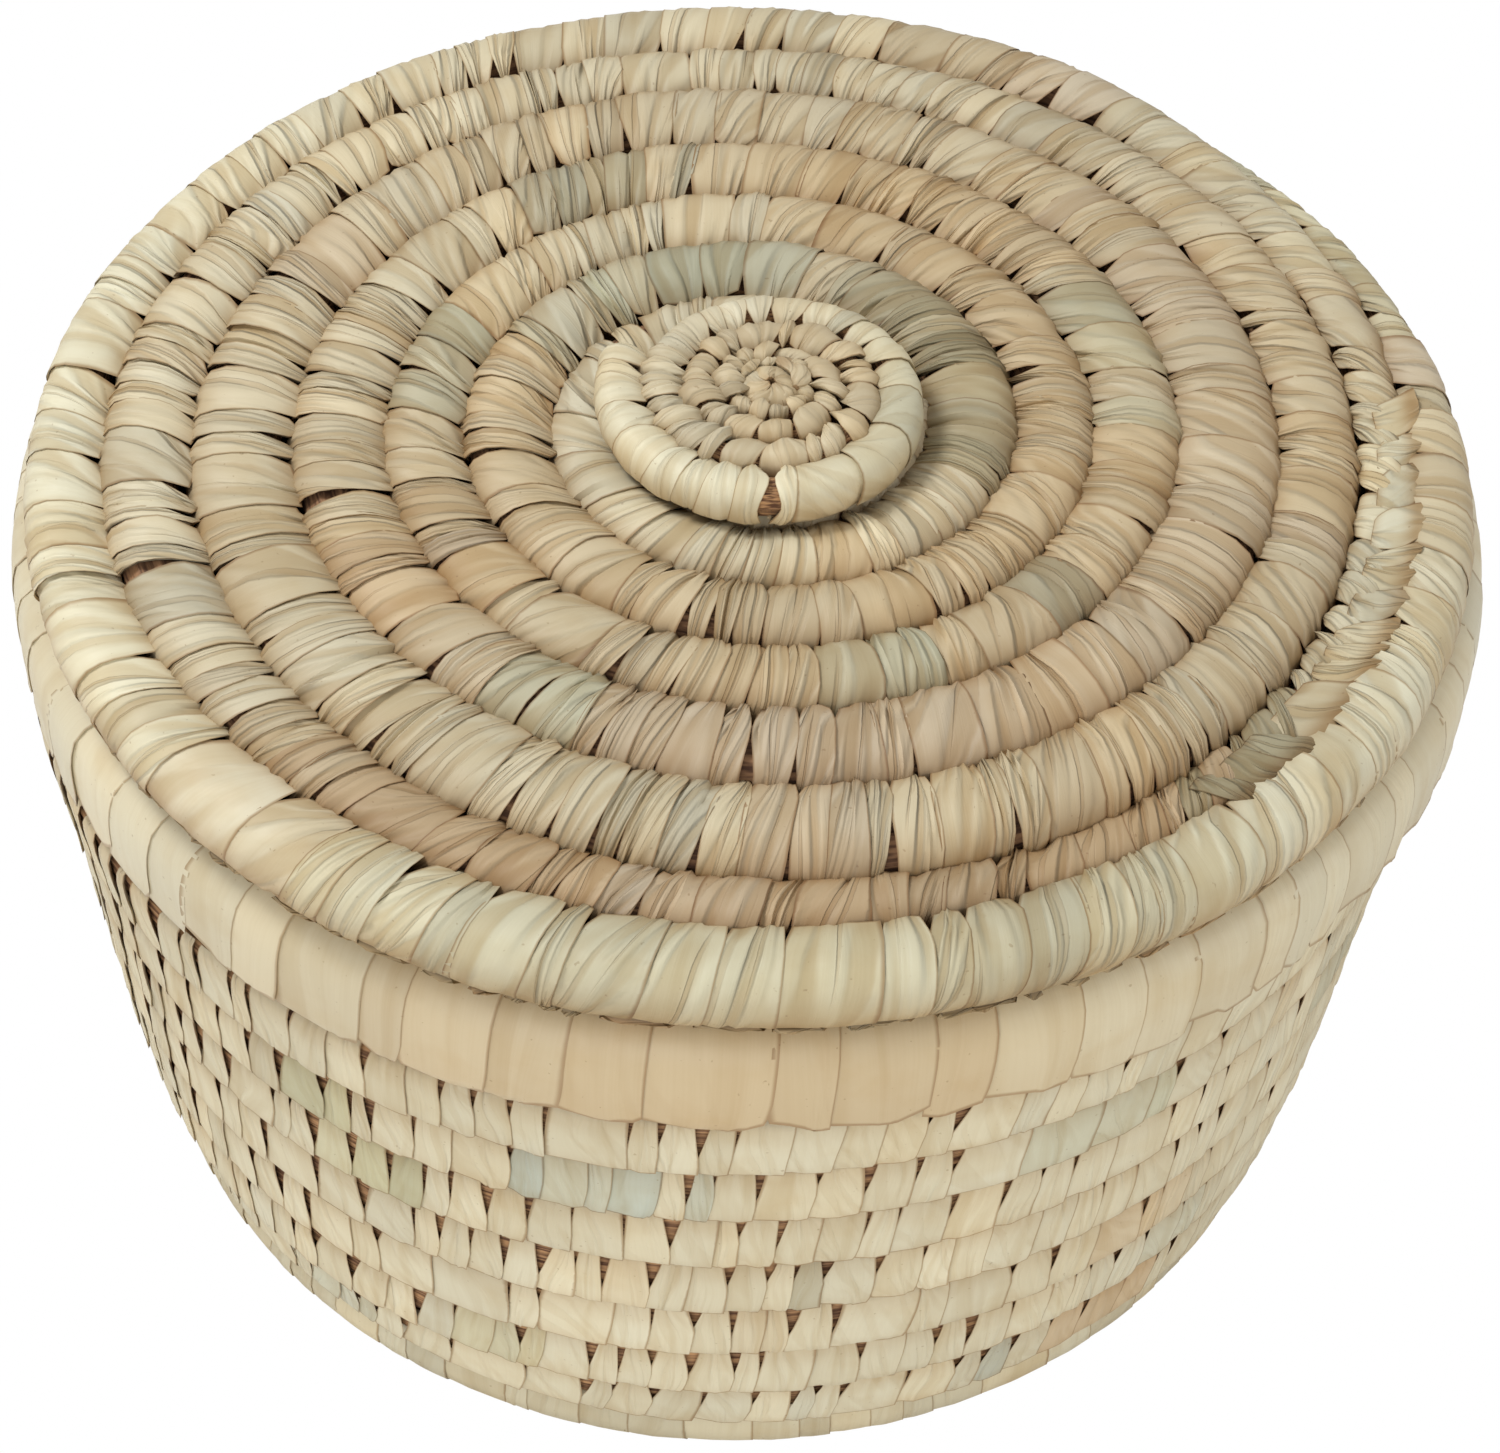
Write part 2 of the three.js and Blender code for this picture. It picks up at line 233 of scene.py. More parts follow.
@dataclass(frozen=True)
class SpiralSeam:
    """The seam of a flat coil, whose radius grows by one coil width in each turn.

    The first turn thickens from nothing around the eye, then the widths add up, and at last the
    seam runs out to the outer radius over the tail angle. One side may grow less than the other,
    and bends, as (turn, reach in turns, way outwards), push it in or out around one place.
    """

    eye: float
    outer: float
    width: float
    tail_width: float
    changes: tuple[float, ...] = ()
    tail_angle: float = 60.0
    slow_angle: float = 0.0
    swing: float = 0.0
    bends: tuple[tuple[float, float, float], ...] = ()
    level: float = 0.0
    crown: float = 0.0

    @property
    def turns(self) -> int:
        """The whole turns between the eye and the tail."""
        return max(1, round((self.outer - self.tail_width - self.eye) / self.width))

    @property
    def last(self) -> float:
        """The turn at which the coil's run-out tail ends."""
        return 1 + self.turns + self.tail_angle / 360 - BLUNT

    def radius(self, turn: Array) -> Array:
        """The seam's radius: the sum of the widths up to a turn that sways about the true one.

        Args:
            turn: the turns at which it is read.

        Returns:
            The radius at each turn.
        """
        changes = np.zeros(self.turns)
        changes[: len(self.changes)] = self.changes
        span = self.outer - self.tail_width - self.eye
        seams = self.eye + np.concatenate([[0.0], np.cumsum((span - changes.sum()) / self.turns + changes)])
        slow = self.slow_angle / 360
        wave = np.sin(2 * np.pi * (turn - slow)) + math.sin(2 * math.pi * slow)
        count = np.where(turn <= 1, 0.0, turn - self.swing / (2 * math.pi) * wave - 1)
        inside = np.interp(count, np.arange(self.turns + 1), seams)
        for place, reach, way in self.bends:
            inside = inside + way * np.exp(-((turn - place) / reach) ** 2)
        run_out = np.clip((turn - 1 - self.turns) / (self.tail_angle / 360), 0.0, 1.0)
        return inside + (self.outer - inside) * run_out

    def edge(self, turn: Array) -> tuple[Array, Array]:
        """The seam as a spiral on a shallow crown, half a sine wave from middle to rim.

        Args:
            turn: the turns at which it is read.

        Returns:
            Radius and height at each turn.
        """
        radius = self.radius(turn)
        return radius, self.level + self.crown * np.sin(np.pi * np.clip(radius / self.outer, 0.0, 1.0))


@dataclass(frozen=True)
class StackedSeam:
    """The seam of a climbing coil: level under its first turn, then rising to the top."""

    bottom: float
    height: float
    climb: float
    radius: float

    def edge(self, turn: Array) -> tuple[Array, Array]:
        """A helix of one radius.

        Args:
            turn: the turns at which it is read.

        Returns:
            Radius and height at each turn.
        """
        share = np.clip((turn - 1) / self.climb, 0.0, 1.0)
        return np.full_like(share, self.radius), self.bottom + self.height * share


@dataclass(frozen=True)
class WallSeam(StackedSeam):
    """A climbing seam whose outer radius follows a cubic curve of the height."""

    shape: tuple[float, float, float, float] = (0.186, 0.197, 0.196, 0.207)
    depth: float = 0.022

    def edge(self, turn: Array) -> tuple[Array, Array]:
        """A helix on the wall's middle surface.

        Args:
            turn: the turns at which it is read.

        Returns:
            Radius and height at each turn.
        """
        _, height = super().edge(turn)
        up = (height - self.bottom) / self.height
        down = 1 - up
        foot, swell, waist, mouth = self.shape
        outer = down**3 * foot + 3 * down**2 * up * swell + 3 * down * up**2 * waist + up**3 * mouth
        return outer - self.depth / 2, height


@dataclass(frozen=True)
class Section:
    """Where a coil's section lies, as arrays over its turns: middle, directions and half sizes."""

    middle: Array
    along: Array
    across: Array
    half_along: Array
    half_across: Array

    def point(self, a: Array, b: Array) -> Array:
        """Section coordinates as (radius, height).

        Args:
            a: place along the row of turns, 1 at the far neighbour.
            b: place across the thickness, 1 at the outer or upper face.

        Returns:
            An array whose last axis is (radius, height).
        """
        return self.middle + self.offset(a, b)

    def offset(self, a: Array, b: Array) -> Array:
        """Section coordinates as a way from the middle, (radius, height).

        Args:
            a: way along the row of turns.
            b: way across the thickness.

        Returns:
            An array whose last axis is (radius, height).
        """
        return self.along * (a * self.half_along)[..., None] + self.across * (b * self.half_across)[..., None]

    def facing(self, b: Array, slope_a: Array, slope_b: Array) -> Array:
        """The way a surface along a line round the section faces: square to the line, and outwards.

        Args:
            b: the line's place across the thickness, as arrays over strips, rows and columns.
            slope_a: how fast the line moves along the row of turns.
            slope_b: how fast it moves across the thickness.

        Returns:
            Directions of length 1, whose last axis is (radius, height).
        """
        tangent = self.offset(slope_a, slope_b)
        flat = unit(np.stack([tangent[..., 1], -tangent[..., 0]], -1))
        crest = np.unravel_index(np.abs(b[0]).argmax(), b[0].shape)
        return flat * np.sign((flat[0][crest] * self.across[0][crest]).sum() * b[0][crest])


@dataclass(frozen=True)
class Coil:
    """One unbroken coil, each turn lying on the turn before.

    It has its whole thickness where a turn is full_width wide, and thins in proportion down to
    tip_share of it. blunt is the length in turns over which its last end is rounded. The middle of
    a turn moves by lean from the centre where its radius is 0, and by less the nearer its radius
    comes to span. hand is 1 for a coil that winds to the left, seen from above, and -1 to the right.
    """

    seam: Seam
    first: float
    last: float
    start_angle: float
    thickness: float
    tip_share: float = 0.4
    full_width: float = 0.0118
    hand: int = 1
    way: Across = Across.DISC
    centre: Place = (0.0, 0.0)
    inset: float = GAP
    blunt: float = 0.0
    lean: Place = (0.0, 0.0)
    span: float = 0.2
    thinnest: float = 0.0004

    def section(self, turn: Array, inset: float | None = None) -> Section:
        """The section between the seam under a turn and the seam one turn on.

        Over the blunt stretch before its last turn the coil rounds off like a quarter of a circle.

        Args:
            turn: the turns at which it is read.
            inset: how far the section is drawn in on all sides, the coil's own inset by default.

        Returns:
            The section at each turn.
        """
        inset = self.inset if inset is None else inset
        near = np.stack(self.seam.edge(turn), -1)
        far = np.stack(self.seam.edge(turn + 1), -1)
        width = np.linalg.norm(far - near, axis=-1)
        share = np.clip(width / self.full_width, 0.0, 1.0)
        thick = self.thickness * (self.tip_share + (1 - self.tip_share) * share)
        if self.blunt:
            rounding = np.sqrt(1 - np.clip((turn - self.last) / self.blunt + 1, 0.0, 0.995) ** 2)
            width, thick = width * rounding, thick * rounding
        across = np.broadcast_to(np.array(self.way.value), near.shape)
        halves = (np.maximum(size / 2 - inset, self.thinnest) for size in (width, thick))
        return Section((near + far) / 2, unit(far - near), across, *halves)

    def place(self, turn: Array, flat: Array) -> Array:
        """Carries (radius, height) pairs round to their turn.

        Args:
            turn: the turns of the points.
            flat: (radius, height) on the last axis.

        Returns:
            The points in space.
        """
        near = 1 - (flat[..., :1] / self.span) ** 2
        return self.turned(turn, flat) + np.array([*self.centre, 0.0]) + near * np.array([*self.lean, 0.0])

    def turned(self, turn: Array, flat: Array) -> Array:
        """Turns (radius, height) directions round to their turn.

        Args:
            turn: the turns of the directions.
            flat: (radius, height) on the last axis.

        Returns:
            The directions in space.
        """
        angle = math.radians(self.start_angle) + self.hand * 2 * np.pi * turn
        return np.stack([flat[..., 0] * np.cos(angle), flat[..., 0] * np.sin(angle), flat[..., 1]], -1)

    def turns_by_length(self, first: float, last: float) -> tuple[Array, Array]:
        """How far along the middle of the coil each turn is.

        Args:
            first: the turn to start from.
            last: the turn to end at.

        Returns:
            Turns and the lengths from the first of them.
        """
        turns = np.linspace(first, last, 2000)
        radius = self.section(turns).middle[:, 0]
        steps = np.diff(turns) * np.pi * (radius[1:] + radius[:-1])
        return turns, np.concatenate([[0.0], np.cumsum(steps)])


def lapped_coil(bottom: float, top: float, radius: float, thickness: float, full_width: float,
                centre: Place) -> Coil:
    """A ring of one turn whose thin ends lie over each other, between two levels.

    Args:
        bottom: the level of its node's underside.
        top: the level of its node's top.
        radius: the radius of its middle line.
        thickness: its thickness across.
        full_width: the width from which on it has its whole thickness.
        centre: its axis.

    Returns:
        The coil, in the frame of the part.
    """
    seam = StackedSeam(bottom - GAP, top - bottom + 2 * GAP, LAP, radius)
    return Coil(seam, BLUNT, 1 + LAP - BLUNT, start_angle=60, thickness=thickness, full_width=full_width,
                way=Across.WALL, centre=centre, inset=2 * GAP)


# Meshes

SHARP = math.radians(55)
CORE_TONE: Colour = linear(128, 88, 62)


@dataclass
class Sheaf:
    """Faces gathered for one mesh, with what each vertex carries for its material."""

    points: list[Array] = field(default_factory=list)
    faces: list[Array] = field(default_factory=list)
    places: list[Array] = field(default_factory=list)
    tones: list[Array] = field(default_factory=list)
    count: int = 0

    def add(self, points: Array, faces: list[Array], places: Array, tones: Array) -> "Sheaf":
        """Adds one closed body, or many alike.

        Args:
            points: vertex positions, (n, 3).
            faces: arrays of vertex numbers, one array for each number of corners.
            places: (across, along, chance) of each vertex on its own strip, (n, 3).
            tones: linear colour of each vertex, (n, 3).

        Returns:
            This sheaf, so that calls can be chained.
        """
        self.points.append(points)
        self.faces.extend(block + self.count for block in faces)
        self.places.append(places)
        self.tones.append(tones)
        self.count += len(points)
        return self

    def object(self, name: str, material: bpy.types.Material, body: str, slot: str) -> bpy.types.Object:
        """Makes the mesh object and lets it ride on its body.

        Args:
            name: the object's name.
            material: its finish.
            body: the moving body that carries it.
            slot: the name of a material slot; not used.

        Returns:
            The object, at the origin with no turn or scale.
        """
        points = np.concatenate(self.points).astype(np.float32)
        loops = np.concatenate([block.ravel() for block in self.faces]).astype(np.int32)
        totals = np.concatenate([np.full(len(b), b.shape[1], np.int32) for b in self.faces])
        mesh = bpy.data.meshes.new(name)
        mesh.vertices.add(len(points))
        mesh.vertices.foreach_set("co", points.ravel())
        mesh.loops.add(len(loops))
        mesh.loops.foreach_set("vertex_index", loops)
        mesh.polygons.add(len(totals))
        starts = np.concatenate([[0], np.cumsum(totals)[:-1]]).astype(np.int32)
        mesh.polygons.foreach_set("loop_start", starts)
        mesh.polygons.foreach_set("loop_total", totals)
        mesh.polygons.foreach_set("use_smooth", np.ones(len(totals), bool))
        for label, values in (("place", self.places), ("tone", self.tones)):
            attribute = mesh.attributes.new(label, "FLOAT_VECTOR", "POINT")
            attribute.data.foreach_set("vector", np.concatenate(values).astype(np.float32).ravel())
        mesh.update(calc_edges=True)
        mesh.set_sharp_from_angle(angle=SHARP)
        mesh.validate()
        mesh.materials.append(material)
        obj = bpy.data.objects.new(name, mesh)
        bpy.context.scene.collection.objects.link(obj)
        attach(obj, body)
        LOG.info("%s: %d faces", name, len(totals))
        return obj


def outward(points: Array, faces: list[Array], sample: int) -> list[Array]:
    """Turns faces right side out, by the sign of the volume that one sample body encloses.

    Args:
        points: vertex positions.
        faces: arrays of vertex numbers.
        sample: the sample body is made of the vertices below this number.

    Returns:
        The faces, all flipped where the sample was inside out.
    """
    volume = 0.0
    middle = points[:sample].mean(0)
    for block in faces:
        corners = points[block[(block < sample).all(1)]] - middle
        for k in range(1, block.shape[1] - 1):
            volume += np.einsum("ij,ij->", corners[:, 0], np.cross(corners[:, k], corners[:, k + 1]))
    return faces if volume > 0 else [block[:, ::-1] for block in faces]


def tubes(rings: Array) -> list[Array]:
    """The faces of closed tubes: quads between rings, and a cap at both ends.

    Args:
        rings: vertex numbers, (tubes, rings, corners).

    Returns:
        An array of quads and an array of caps.
    """
    here, there = rings[:, :-1], rings[:, 1:]
    quads = np.stack([here, np.roll(here, -1, 2), np.roll(there, -1, 2), there], -1).reshape(-1, 4)
    return [quads, rings[:, 0, ::-1].copy(), rings[:, -1].copy()]


def closed_tube(sheaf: Sheaf, rings: Array, places: Array) -> Sheaf:
    """Adds one closed tube of stem fibre.

    Args:
        sheaf: where the tube goes.
        rings: its points, (rings, sides, 3).
        places: what its material reads at each point, (rings, sides, 3).

    Returns:
        The sheaf.
    """
    points = rings.reshape(-1, 3)
    numbers = np.arange(len(points)).reshape(1, *rings.shape[:2])
    return sheaf.add(points, outward(points, tubes(numbers), len(points)), places.reshape(-1, 3),
                     np.broadcast_to(np.array(CORE_TONE), points.shape))


def turned_rings(centre: Place, radius: float, profile: Array, angle: Array,
                 ridge: Array | float = 1.0) -> Array:
    """Rings of points round an upright axis, each a circle with its own share of the radius.

    Args:
        centre: the axis.
        radius: the radius where the share is 1.
        profile: (share of the radius, level) of each ring.
        angle: where the points of a ring lie.
        ridge: how far each of them stands out, as a factor.

    Returns:
        The points, (rings, points of a ring, 3).
    """
    reach = radius * profile[:, :1] * ridge
    level = np.broadcast_to(profile[:, 1:], (len(profile), len(angle)))
    return np.stack([centre[0] + reach * np.cos(angle), centre[1] + reach * np.sin(angle), level], -1)


def close_strips(sheaf: Sheaf, top: Array, under: Array, across: Array, tones: Array,
                 rng: np.random.Generator) -> None:
    """Adds leaf strips, each closed by two lines of vertices under its top surface.

    The lines underneath are dark, so that a strip's thickness reads as the shade below it.

    Args:
        sheaf: where the strips go.
        top: top surfaces, (strips, rows, columns, 3).
        under: the lines under them from the last column to the first, (strips, rows, 2, 3).
        across: the columns' places across their strip, -1 to 1, (strips, columns).
        tones: linear colour of each strip, (strips, 3).
        rng: the source of chance.
    """
    strips, rows, columns, _ = top.shape
    corners = columns + 2
    points = np.concatenate([top, under], 2).reshape(-1, 3)
    place = np.empty((strips, rows, corners, 3))
    place[..., :-2, 0] = (across[:, None] + 1) / 2
    place[..., -2:, 0] = 0.5
    place[..., 1] = np.linspace(0, 1, rows)[:, None]
    place[..., 2] = rng.random(strips)[:, None, None]
    shade = np.where(np.arange(corners) < columns, 1.0, 0.3)
    faces = outward(points, tubes(np.arange(len(points)).reshape(strips, rows, corners)), rows * corners)
    colours = tones[:, None, None] * np.broadcast_to(shade[:, None], (rows, corners, 1))
    sheaf.add(points, faces, place.reshape(-1, 3), colours.reshape(-1, 3))


# Leaf strips


@dataclass(frozen=True)
class StripLook:
    """How the surface of a leaf strip is shaped.

    Its middle is arched, more so where it is drawn together, and the whole strip lies about rise
    higher or lower than its neighbours. The odd columns are the bottoms of creases between rounded
    ridges, each with one steep side. calm is the chance that a crease is hardly there, fading the
    chance that it fades out on its way from one end, and from_first the chance that this is the
    first end. The others run through, with the share through of their depth. Towards the ends the
    creases gather at a point across the strip, and twist is how far they run across it, where 1 is
    half a width. The covering edge stands up by lap and the covered edge lies down by as much.
    """

    arch: float = 0.3 * MM
    puff: float = 0.7 * MM
    fold: float = 1.15 * MM
    rise: float = 0.25 * MM
    lap: float = 0.15 * MM
    depth: float = 1.4 * MM
    creases: int = 4
    calm: float = 0.2
    gather: float = 0.75
    twist: float = 0.4
    from_first: float = 0.36
    fading: float = 0.7
    through: float = 0.8

    def cuts(self, strips: int, rng: np.random.Generator) -> Array:
        """Uneven places across each strip, from -1 to 1, a short and a long step at each crease.

        Args:
            strips: how many strips there are.
            rng: the source of chance.

        Returns:
            Places, (strips, columns).
        """
        short = rng.uniform(0.35, 0.9, (strips, self.creases))
        long = rng.uniform(0.6, 2.0, (strips, self.creases))
        left = rng.random((strips, self.creases)) < 0.5
        steps = np.stack([np.where(left, short, long), np.where(left, long, short)], -1).reshape(strips, -1)
        total = np.cumsum(steps, 1) / steps.sum(1, keepdims=True)
        return np.concatenate([np.zeros((strips, 1)), total], 1) * 2 - 1

    def gathered(self, across: Array, share: Array, rng: np.random.Generator) -> Array:
        """The places across at each row: the inner ones move towards a point at each end.

        Args:
            across: places across, (strips, columns).
            share: places along, (rows,).
            rng: the source of chance.

        Returns:
            Places, (strips, rows, columns).
        """
        strips = len(across)
        place = np.repeat(across[:, None], len(share), 1)
        twist = rng.normal(self.twist, 0.35, (strips, 1, 1)).clip(-0.5, 0.95)
        place = place + twist * (share[None, :, None] - 0.5) * (1 - place**2)
        for away in (share, 1 - share):
            point = rng.uniform(-0.7, 0.7, (strips, 1, 1))
            near = (1 - ease(0.0, 0.75, away))[None, :, None]
            pull = self.gather * rng.uniform(0.2, 1.0, (strips, 1, 1)) * near
            place = place + pull * (point - place) * (1 - place**4)
        return place

    def lift(self, across: Array, share: Array, drawn: Array, rng: np.random.Generator) -> Array:
        """How far the surface stands off the coil.

        Args:
            across: places across, (strips, columns).
            share: places along, (rows,).
            drawn: how far each row is drawn together, 0 to 1, (strips, rows).
            rng: the source of chance.

        Returns:
            Heights, (strips, rows, columns).
        """
        strips, columns = across.shape
        deep = rng.uniform(0.15, 1.0, across.shape) ** 1.3
        deep = deep * np.where(rng.random(across.shape) < self.calm, 0.1, 1)
        deep = deep * (0.45 + 0.55 * ease(0.1, 0.5, rng.random((strips, 1))))
        crease = np.where(np.arange(columns) % 2 == 1, -deep, 0.4 * deep) * (1 - across**10)
        reach = rng.uniform(0.4, 1.1, across.shape)[:, None]
        along = share[None, :, None]
        starts = np.clip(1 - along / reach, 0, 1) ** 0.6
        ends = np.clip(1 - (1 - along) / reach, 0, 1) ** 0.6
        kind = rng.random(across.shape)[:, None]
        fade = np.where(kind < self.from_first, starts, np.where(kind < self.fading, ends, self.through))
        arch = self.arch * rng.uniform(0.4, 1.6, (strips, 1)) + self.puff * drawn
        rise = rng.normal(0, 1, (strips, 1, 1)).clip(-1.6, 1.6) * self.rise
        return (arch[..., None] * (1 - np.abs(across[:, None]) ** 2.6) + rise
                + self.fold * crease[:, None] * fade + self.lap * across[:, None])

    def below(self, top: Array, up: Array) -> Array:
        """The two lines under a strip that close it, a little inside its edges.

        Args:
            top: the top surface, (..., columns, 3).
            up: the way it faces at each of its points, (..., columns, 3).

        Returns:
            Points from the last column's side to the first's, (..., 2, 3).
        """
        near = 0.88 * top[..., [-1, 0], :] + 0.12 * top[..., [0, -1], :]
        return near - up[..., [-1, 0], :] * self.depth


@dataclass(frozen=True)
class End:
    """How strips end on one side of a coil: the gaps that open between them, and their tips.

    A gap has a half width between least and most and runs up along the strips by about reach. Its
    sides are straight where pointed is 1 and round lobes where it is 0. arc is how much sooner a
    strip ends at its edges than in its middle, and cut is how far the ends vary, in slow waves.
    """

    chance: float = 0.6
    least: float = 0.4 * MM
    most: float = 2.0 * MM
    reach: float = 0.3
    pointed: float = 0.4
    arc: float = 0.1
    cut: float = 0.05

    def loss(self, count: int, away: Array, rng: np.random.Generator) -> Array:
        """What each boundary takes from the strips beside it.

        Args:
            count: the number of boundaries.
            away: shares of the strip's length from this end, (rows,).
            rng: the source of chance.

        Returns:
            Half widths of the gaps, (count, rows).
        """
        size = rng.uniform(self.least, self.most, (count, 1)) * (rng.random((count, 1)) < self.chance)
        near = np.clip(1 - away / (self.reach * rng.uniform(0.6, 1.4, (count, 1))), 0, 1)
        return size * (self.pointed * near + (1 - self.pointed) * (1 - np.sqrt(1 - near**2)))

    def shorten(self, across: Array, away: Array, rng: np.random.Generator) -> Array:
        """How much of the strip's length is missing at this end, across and along.

        Args:
            across: places across, (strips, columns).
            away: shares of the strip's length from this end, (rows,).
            rng: the source of chance.

        Returns:
            Shares of the length, (strips, rows, columns).
        """
        strips = len(across)
        tip = rng.uniform(-0.45, 0.45, (strips, 1))
        curve = self.arc * rng.uniform(0.5, 1.4, (strips, 1)) * ((across - tip) / (1 + np.abs(tip))) ** 2
        wave = (0.5 + 0.4 * drift(strips, rng, 5)[:, None]).clip(0, 1.3)
        missing = curve + self.cut * (0.6 * rng.uniform(0, 1, (strips, 1)) ** 2 + wave)
        return missing[:, None] * (1 - ease(0.0, 0.5, away))[None, :, None]


@dataclass(frozen=True)
class Tear:
    """A wide gap between two strips all along, where the fibre shows."""

    turn: float
    half: float


@dataclass(frozen=True)
class Wrap:
    """How the strips of a coil are cut, and the line that each follows round the section.

    path lists (a, b) in section coordinates from the strip's first end to its last. The strips lean
    by lead from one end to the other and bow sideways in between, neighbours nearly alike, and each
    boundary strays by wedge on its own, so that some strips are wider at one end.
    """

    path: tuple[tuple[float, float], ...]
    width: float = 11 * MM
    spread: float = 0.36
    rows: int = 11
    lead: float = 6 * MM
    lead_spread: float = 1.8 * MM
    wedge: float = 1.5 * MM
    bow: float = 0.9 * MM
    first_end: End = End()
    last_end: End = End()
    overlap: float = 1.3 * MM
    look: StripLook = StripLook()
    tears: tuple[Tear, ...] = ()

    def at(self, share: Array) -> tuple[Array, Array, Array, Array]:
        """The path as a cubic through its points, with the mean of the chords as slopes.

        Args:
            share: where it is read, 0 at its first end and 1 at its last.

        Returns:
            a, b and how fast each of them changes.
        """
        nodes = np.array(self.path)
        steps = np.linalg.norm(np.diff(nodes, axis=0), axis=1)
        knots = np.concatenate([[0.0], np.cumsum(steps)]) / steps.sum()
        slopes = np.gradient(nodes, knots, axis=0)
        k = np.clip(np.searchsorted(knots, share, "right") - 1, 0, len(knots) - 2)
        gap = (knots[k + 1] - knots[k])[..., None]
        t = ((share - knots[k]) / gap[..., 0])[..., None]
        value = ((2 * t**3 - 3 * t**2 + 1) * nodes[k] + (t**3 - 2 * t**2 + t) * gap * slopes[k]
                 + (3 * t**2 - 2 * t**3) * nodes[k + 1] + (t**3 - t**2) * gap * slopes[k + 1])
        slope = ((6 * t**2 - 6 * t) * (nodes[k] - nodes[k + 1]) / gap + (3 * t**2 - 4 * t + 1) * slopes[k]
                 + (3 * t**2 - 2 * t) * slopes[k + 1])
        return value[..., 0], value[..., 1], slope[..., 0], slope[..., 1]

    def bounds(self, coil: Coil, first: float, last: float, rng: np.random.Generator) -> tuple[Array, Array]:
        """Lays the strips out along a stretch: widths by chance that together fill it.

        Args:
            coil: the coil that is wrapped.
            first: the turn to start from.
            last: the turn to end at.
            rng: the source of chance.

        Returns:
            The turns of the boundaries, and the widths of the strips between them.
        """
        turns, lengths = coil.turns_by_length(first, last)
        strips = max(3, round(lengths[-1] / self.width))
        widths = np.clip(np.exp(rng.normal(0, self.spread, strips)), 0.45, 2.1)
        widths *= lengths[-1] / widths.sum()
        return np.interp(np.concatenate([[0.0], np.cumsum(widths)]), lengths, turns), widths

    def gaps(self, bounds: Array, share: Array, rng: np.random.Generator) -> Array:
        """What each boundary takes from the strips beside it, at both their ends and at the tears.

        Args:
            bounds: the turns of the boundaries.
            share: places along the strips, 0 to 1.
            rng: the source of chance.

        Returns:
            Half widths of the gaps, (boundaries, rows).
        """
        loss = self.first_end.loss(len(bounds), share, rng) + self.last_end.loss(len(bounds), 1 - share, rng)
        for tear in self.tears:
            ragged = 0.75 + 0.4 * np.sin(2 * np.pi * (1.3 * share + rng.random()))
            loss[np.abs(bounds - tear.turn).argmin()] += tear.half * ragged
        loss[[0, -1]] = 0.0
        return loss

    def slides(self, count: int, share: Array, rng: np.random.Generator) -> Array:
        """How far along the coil each boundary goes: by its lead from end to end, with a bow between.

        Args:
            count: the number of boundaries.
            share: places along the strips, 0 to 1.
            rng: the source of chance.

        Returns:
            Lengths, (boundaries, rows).
        """
        stray = self.wedge * rng.normal(0, 1, count).clip(-1.3, 1.3)
        stray = stray + self.lead_spread * drift(count, rng)
        bow = self.bow * drift(count, rng)
        for values in (stray, bow):
            values[[0, -1]] = 0.0
        return (self.lead + stray)[:, None] * (share - 0.5) + bow[:, None] * np.sin(np.pi * share)


def wrap_coil(sheaf: Sheaf, coil: Coil, wrap: Wrap, tones: Tones, rng: np.random.Generator,
              first: float | None = None, last: float | None = None) -> None:
    """Wraps a stretch of a coil in leaf strips.

    Neighbours share a boundary line and the one before laps over the one after. The first and last
    lines don't stray, so that stretches join without a gap. Towards the ends of the strips both draw
    back from some boundaries, which opens a gap between them that shows the fibre core.

    Args:
        sheaf: where the strips go.
        coil: the coil that is wrapped.
        wrap: how the strips are cut and laid.
        tones: their colours.
        rng: the source of chance.
        first: the turn to start from, the coil's own start by default.
        last: the turn to end at, the coil's own end by default.
    """
    bounds, widths = wrap.bounds(coil, coil.first if first is None else first,
                                 coil.last if last is None else last, rng)
    # The rows lie closer together towards the strips' ends, and a gap takes 0.4 of a strip at most
    even = np.linspace(0, 1, wrap.rows)
    share = 0.5 * even + 0.25 * (1 - np.cos(np.pi * even))
    loss = wrap.gaps(bounds, share, rng)
    slide = wrap.slides(len(bounds), share, rng)
    room = 0.4 * widths[:, None]
    per_length = 1 / (2 * np.pi * coil.section((bounds[:-1] + bounds[1:]) / 2).middle[:, :1])
    left = bounds[:-1, None] + (slide[:-1] + np.minimum(loss[:-1], room)) * per_length
    right = bounds[1:, None] + (slide[1:] - np.minimum(loss[1:], room) + wrap.overlap) * per_length
    across = wrap.look.cuts(len(widths), rng)
    turn = left[..., None] + (right - left)[..., None] * (wrap.look.gathered(across, share, rng) + 1) / 2
    along = (share[None, :, None] + wrap.first_end.shorten(across, share, rng)
             - wrap.last_end.shorten(across, 1 - share, rng))
    a, b, slope_a, slope_b = wrap.at(np.clip(along, 0, 1))
    section = coil.section(turn)
    normal = coil.turned(turn, section.facing(b, slope_a, slope_b))
    drawn = np.clip((loss[:-1] + loss[1:]) / widths[:, None], 0, 1)
    lift = wrap.look.lift(across, share, drawn, rng)
    top = coil.place(turn, section.point(a, b)) + normal * lift[..., None]
    close_strips(sheaf, top, wrap.look.below(top, normal), across, tones.at(turn[:, 0, 0], rng), rng)


